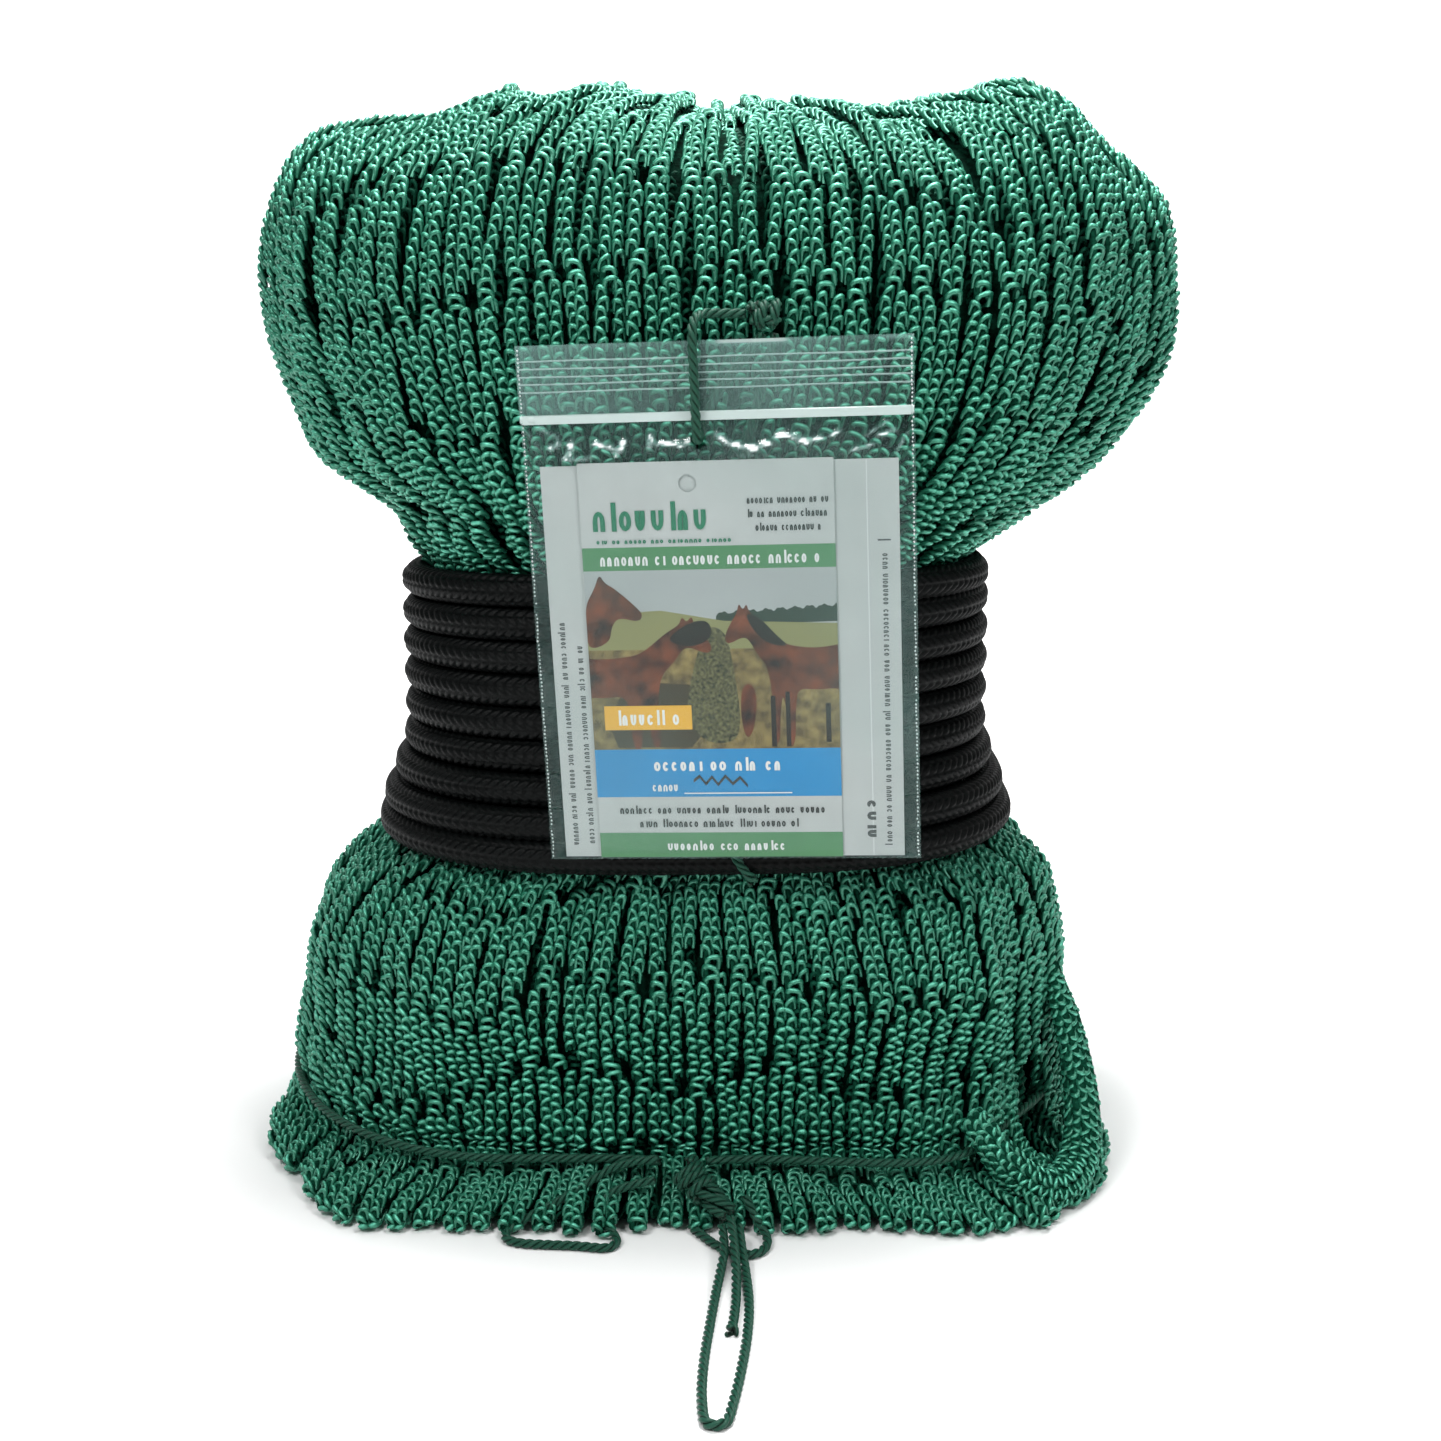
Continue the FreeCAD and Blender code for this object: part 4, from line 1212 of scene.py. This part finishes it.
def horse(x, y, wide, tall, flip=False):
    """The horse's outline in a box of the card, cut off at the card's edges."""
    outline = [(x + wide * ((1 - a) if flip else a), y + tall * b) for a, b in rounded(HORSE)]
    for edge, keep_above in ((0.0, True), (1.0, False)):
        cut = []
        for (x0, y0), (x1, y1) in zip(outline, outline[1:] + outline[:1]):
            in0, in1 = (x0 >= edge) == keep_above, (x1 >= edge) == keep_above
            if in0:
                cut.append((x0, y0))
            if in0 != in1:
                t = (edge - x0) / (x1 - x0)
                cut.append((edge, y0 + t * (y1 - y0)))
        outline = cut
    return [card_spot(a, b) for a, b in outline]


CARD_FACE, PRINT_TOP = 2.46, 0.245      # mm: the card's face, and the top ink over it


def card_layer(name, outlines, ink, over):
    """Patches of one ink on the card, from its colour or its material."""
    if isinstance(ink, tuple):
        ink = paper_material("ink_" + name, ink, 0.4)
    print_layer("card_" + name, outlines, "card", ink, CARD_FACE + over)


def card_picture():
    """The colour bands, and horses at a hay net in a field."""
    card_layer("banner", [card_bar(0, 0.205, 1, 0.262), card_bar(0, 0.935, 1, 1)],
               (0.062, 0.20, 0.088), 0.0)
    card_layer("band", [card_bar(0, 0.715, 1, 0.84)], (0.016, 0.21, 0.45), 0.0)
    card_layer("sky", [card_bar(0, 0.262, 1, 0.42)], (0.30, 0.34, 0.34), 0.0)
    trees = card_shape((1, 0.395), (0.52, 0.402))
    trees += [card_spot(0.52 + 0.006 * k, 0.379 - 0.00022 * k - 0.008 * abs(math.sin(0.33 * k))
                        - 0.004 * abs(math.sin(0.81 * k))) for k in range(81)]
    card_layer("trees", [trees], (0.012, 0.03, 0.02), 0.03)
    card_layer("field", [card_shape((0, 0.372), (0.3, 0.362), (0.55, 0.39), (1, 0.40), (1, 0.47),
                                    (0, 0.47))], (0.19, 0.20, 0.085), 0.04)
    ground = mottled("ink_ground", (0.14, 0.10, 0.04), 0.45, 0.4,
                     (240.0, 5.0, (0.05, 0.04, 0.018), (0.22, 0.17, 0.06)))
    card_layer("ground", [card_bar(0, 0.46, 1, 0.715)], ground, 0.05)
    card_layer("shade", [card_shape((0.06, 0.64), (0.16, 0.54), (0.42, 0.55), (0.47, 0.66),
                                    (0.40, 0.71), (0.1, 0.71))], (0.035, 0.028, 0.014), 0.06)
    hay = mottled("ink_hay", (0.06, 0.065, 0.03), 0.45, 0.4,
                  (900.0, 2.0, (0.012, 0.016, 0.009), (0.12, 0.12, 0.05)))
    card_layer("hay", [rounded(card_shape(
        (0.50, 0.40), (0.56, 0.42), (0.585, 0.52), (0.605, 0.64), (0.58, 0.70), (0.45, 0.70),
        (0.38, 0.63), (0.41, 0.53), (0.46, 0.43)))], hay, 0.08)
    coat = mottled("ink_coat", (0.12, 0.03, 0.012), 0.4, 0.4,
                   (130.0, 4.0, (0.006, 0.002, 0.002), (0.15, 0.038, 0.013)))
    card_layer("horses", [horse(0.55, 0.345, 0.62, 0.37),
                          horse(-0.28, 0.375, 0.78, 0.345, True)], coat, 0.10)
    head = rounded(card_shape(
        (0.0, 0.40), (0.0, 0.345), (0.04, 0.305), (0.062, 0.268), (0.082, 0.292), (0.12, 0.305),
        (0.20, 0.350), (0.23, 0.372), (0.21, 0.39), (0.13, 0.377), (0.10, 0.40), (0.09, 0.44),
        (0.0, 0.46)))
    head[:, 0] = np.maximum(head[:, 0], CARD_LEFT)
    foal = rounded(card_shape((0.615, 0.55), (0.66, 0.55), (0.672, 0.60), (0.655, 0.665),
                              (0.63, 0.69), (0.612, 0.67), (0.602, 0.61)))
    card_layer("horse_head", [head, foal], coat, 0.14)
    crest = rounded(card_shape((0.635, 0.37), (0.69, 0.38), (0.76, 0.43), (0.81, 0.457),
                               (0.72, 0.45), (0.66, 0.41)))
    neck = rounded(card_shape((0.31, 0.437), (0.40, 0.395), (0.485, 0.385), (0.505, 0.42),
                              (0.47, 0.445), (0.40, 0.455)))
    legs = [card_bar(0.725, 0.58, 0.745, 0.71), card_bar(0.785, 0.57, 0.803, 0.71),
            card_bar(0.945, 0.6, 0.965, 0.70)]
    card_layer("mane", [crest, neck] + legs, (0.008, 0.006, 0.005), 0.18)
    card_layer("label", [card_bar(0.05, 0.602, 0.405, 0.664)], (0.62, 0.36, 0.04), 0.22)


def card_words():
    """Meaningless marks that stand for the printed words, and a zigzag for the handwriting."""
    rows = glyph_row(0.10, 0.37, 0.613, 0.652, 3, 0.034)
    rows += glyph_row(0.07, 0.955, 0.218, 0.25, 4, 0.028)
    rows += glyph_row(0.24, 0.80, 0.737, 0.772, 5, 0.036)
    rows += glyph_row(0.23, 0.345, 0.80, 0.825, 6, 0.022)
    rows += glyph_row(0.28, 0.77, 0.956, 0.982, 7, 0.026)
    rows += [card_bar(0.36, 0.829, 0.80, 0.832)]
    card_layer("light_print", rows, (0.60, 0.65, 0.64), PRINT_TOP)
    mark = [(0.40, 0.798), (0.425, 0.786), (0.45, 0.806), (0.475, 0.788), (0.50, 0.808),
            (0.53, 0.786), (0.56, 0.806), (0.59, 0.79), (0.62, 0.812)]
    pen = 0.0045
    rows = [[card_spot(x, y - pen) for x, y in mark]
            + [card_spot(x, y + pen) for x, y in reversed(mark)]]
    rows += glyph_row(0.09, 0.94, 0.862, 0.884, 8, 0.021)
    rows += glyph_row(0.17, 0.84, 0.898, 0.92, 9, 0.021)
    rows += glyph_row(0.66, 0.985, 0.085, 0.105, 10) + glyph_row(0.66, 0.985, 0.118, 0.138, 11)
    rows += glyph_row(0.69, 0.95, 0.151, 0.171, 12)
    card_layer("dark_print", rows, (0.03, 0.035, 0.035), PRINT_TOP)
    rows = glyph_row(0.05, 0.60, 0.095, 0.165, 13, 0.064)
    rows += glyph_row(0.06, 0.60, 0.183, 0.196, 14, 0.018)
    card_layer("title", rows, (0.02, 0.16, 0.09), PRINT_TOP)


# Rows on the leaflets: from and to down the paper, from and to across it, seed and step
RIGHT_ROWS = [(0.20, 0.96, 0.02, 0.30, 21, 0.0105), (0.83, 0.955, -0.78, -0.30, 26, 0.03)]
LEFT_ROWS = [(0.36, 0.955, 0.0, 0.28, 22, 0.0105), (0.42, 0.955, 0.62, 0.90, 23, 0.0105),
             (0.80, 0.955, 1.2, 1.48, 24, 0.0105)]


def leaflet_print():
    """Sideways rows of marks on the folded papers, and the right one's crease."""
    for label, place, lines in (("right", 57.5, RIGHT_ROWS), ("left", -62.5, LEFT_ROWS)):
        ink = paper_material("ink_leaflet_" + label, (0.05, 0.06, 0.06), 0.5)

        def turned(x, y, place=place):
            return place + y * 10, 50 - x * 150
        rows = sum([glyph_row(*line, turned) for line in lines], [])
        if label == "right":
            rows.append([turned(x, y) for y, x in bar(-0.05, 0.165, 0.42, 0.169)])
        print_layer("leaflet_print_" + label, rows, label + "_paper", ink,
                    LEAFLET_FACE + 0.015)
    crease = paper_material("paper_fold", (0.52, 0.56, 0.56), 0.6)
    print_layer("leaflet_fold_right", [bar(53.2, -96.4, 53.6, 54.2)], "right_paper", crease,
                LEAFLET_FACE)


def film_strip(name, u, v, out, profile, material):
    """A strip across the pouch, this far over the front film, with this section in mm."""
    w = front_film(u, v)[0] + out
    verts = np.stack([on_pouch(u, v + a, w + b) for a, b in profile], 1).reshape(-1, 3)
    faces = tube_faces(len(u), len(profile), False)
    mesh_object(name, verts, faces, material, "pouch")


def side_seals():
    """The beaded heat seals down both sides."""
    seal = mottled("film_seal", (0.85, 0.9, 0.9), 0.25, 0.8, relief=(500.0, 2.0, 0.2, 0.0003),
                   alpha=0.6)
    rng = np.random.default_rng(8)
    parts = []
    bead = np.array([(0, 0, 1), (1, 0, 0), (0, 1, 0), (-1, 0, 0), (0, -1, 0), (0, 0, -1)], float)
    sides = np.array([(0, 1, 2), (0, 2, 3), (0, 3, 4), (0, 4, 1),
                      (5, 2, 1), (5, 3, 2), (5, 4, 3), (5, 1, 4)])
    for side in (-1, 1):
        for v in np.arange(-96.5, 97, 1.45):
            if rng.random() < 0.06:
                continue
            u = side * (POUCH_HALF - 0.9) + rng.normal(0, 0.1)
            w = front_film(np.array([u]), np.array([v]))[0][0] + 0.25
            size = np.array([0.42, 0.5, 0.3]) * rng.uniform(0.75, 1.15)
            parts.append((on_pouch(*(np.array([u, v, w]) + bead * size).T), sides))
    mesh_object("pouch_side_seals", *merged(parts), seal, "pouch")


def pouch():
    """The clear bag with its ribs, seals and zip, and the papers inside."""
    clear = film_material()
    film_sheet("pouch_front", lambda u, v: front_film(u, v)[0], front_haze, clear, 0.9)
    film_sheet("pouch_back", lambda u, v: 0.25 + 0.12 * WAVE(u / 17.0, v / 23.0), back_haze,
               clear, 1.6)
    frost = mottled("film_rib", (0.40, 0.56, 0.54), 0.3, 0.6, relief=(300.0, 2.0, 0.2, 0.0004),
                    alpha=0.5)
    u = np.linspace(-POUCH_HALF + 0.4, POUCH_HALF - 0.4, 120)
    for k, drop in enumerate((5.7, 8.5, 11.3, 13.8, 16.6)):
        v = np.full_like(u, POUCH_TALL - drop) + 0.12 * np.sin(u / 11.0 + k)
        film_strip("pouch_rib_%d" % (k + 1), u, v, 0.12,
                   [(-0.32, -0.1), (0.0, 0.28), (0.32, -0.1)], frost)
    side_seals()
    # the closed zip: a bright line across the front
    zip_white = mottled("zip_white", (0.55, 0.66, 0.64), 0.28, 0.7,
                        relief=(400.0, 2.0, 0.2, 0.0003), alpha=0.8)
    u = np.linspace(-POUCH_HALF + 0.3, POUCH_HALF - 0.3, 160)
    film_strip("pouch_zip_line", u, ZIP_LEVEL + 0.15 * np.sin(u / 20.0), 0.25,
               [(-1.2, -0.15), (-0.9, 0.35), (-0.2, 0.5), (0.5, 0.45), (1.0, 0.3), (1.3, -0.15)],
               zip_white)
    for node in ("zip_rib_strip", "zip_groove_strip"):
        paint_node(node, zip_white)
    for node in ("picture_card", "leaflet_right", "leaflet_left"):
        paint_node(node, PAPER)
    card_picture()
    card_words()
    leaflet_print()


# ---- Stage
def area(name, place, target, size, power):
    """A rectangular lamp that looks at its target."""
    light = bpy.data.lights.new(name, "AREA")
    light.shape = "RECTANGLE"
    light.size, light.size_y = size
    light.energy = power
    obj = add_object(name, light)
    obj.location = place
    aim = Vector(target) - Vector(place)
    obj.rotation_euler = aim.to_track_quat("-Z", "Y").to_euler()


def stage():
    """A pale sweep, whose floor curves up into the backdrop."""
    start, radius, half_wide = 3.0, 1.2, 8.0
    bend = [(start + radius * math.sin(a), radius * (1 - math.cos(a)))
            for a in np.linspace(0, math.pi / 2, 17)]
    profile = [(-6.0, 0.0)] + bend + [(start + radius, 6.0)]
    verts = [(x, y, z) for y, z in profile for x in (-half_wide, half_wide)]
    faces = [(2 * k, 2 * k + 1, 2 * k + 3, 2 * k + 2) for k in range(len(profile) - 1)]
    floor_mesh = bpy.data.meshes.new("floor")
    floor_mesh.from_pydata(verts, [], faces)
    floor_mesh.polygons.foreach_set("use_smooth", [True] * len(faces))
    floor_mesh.materials.append(new_material("floor_white", (0.93, 0.93, 0.93), 0.9, 0.1)[0])
    add_object("floor", floor_mesh)


def lights():
    """A white studio with a lamp overhead, one at each side of the front, and a lit backdrop."""
    world = bpy.data.worlds.new("studio")
    bpy.context.scene.world = world
    world.use_nodes = True
    background = world.node_tree.nodes["Background"]
    background.inputs["Color"].default_value = (1, 1, 1, 1)
    background.inputs["Strength"].default_value = 0.14
    area("key_overhead", (0.05, 0.03, 1.25), (0, 0, 0.25), (0.5, 0.3), 18.5)
    area("front_left", (-0.47, -0.88, 1.03), (0, 0, 0.26), (0.35, 0.35), 8.7)
    area("front_right", (0.62, -0.85, 0.95), (0, 0, 0.26), (0.35, 0.35), 5.8)
    area("backdrop_wash", (0.0, 1.2, 2.2), (0, 3.0, 0.6), (3.0, 0.6), 160)
    bpy.context.scene.view_settings.view_transform = "Standard"


def camera():
    """Straight at the front, from a little above, looking down."""
    down, lens = 10.9, 47.62        # degrees, and mm on a 36 mm sensor
    data = bpy.data.cameras.new("camera")
    data.sensor_width = 36.0
    data.lens = lens
    obj = add_object("camera", data)
    obj.location = (0.0025, -0.814, 0.337)
    obj.rotation_euler = (math.radians(90 - down), 0, 0)
    bpy.context.scene.camera = obj


stage()
lights()
camera()
twines()
knots()
rope()
crown()
skirt()
side_fold()
pouch()
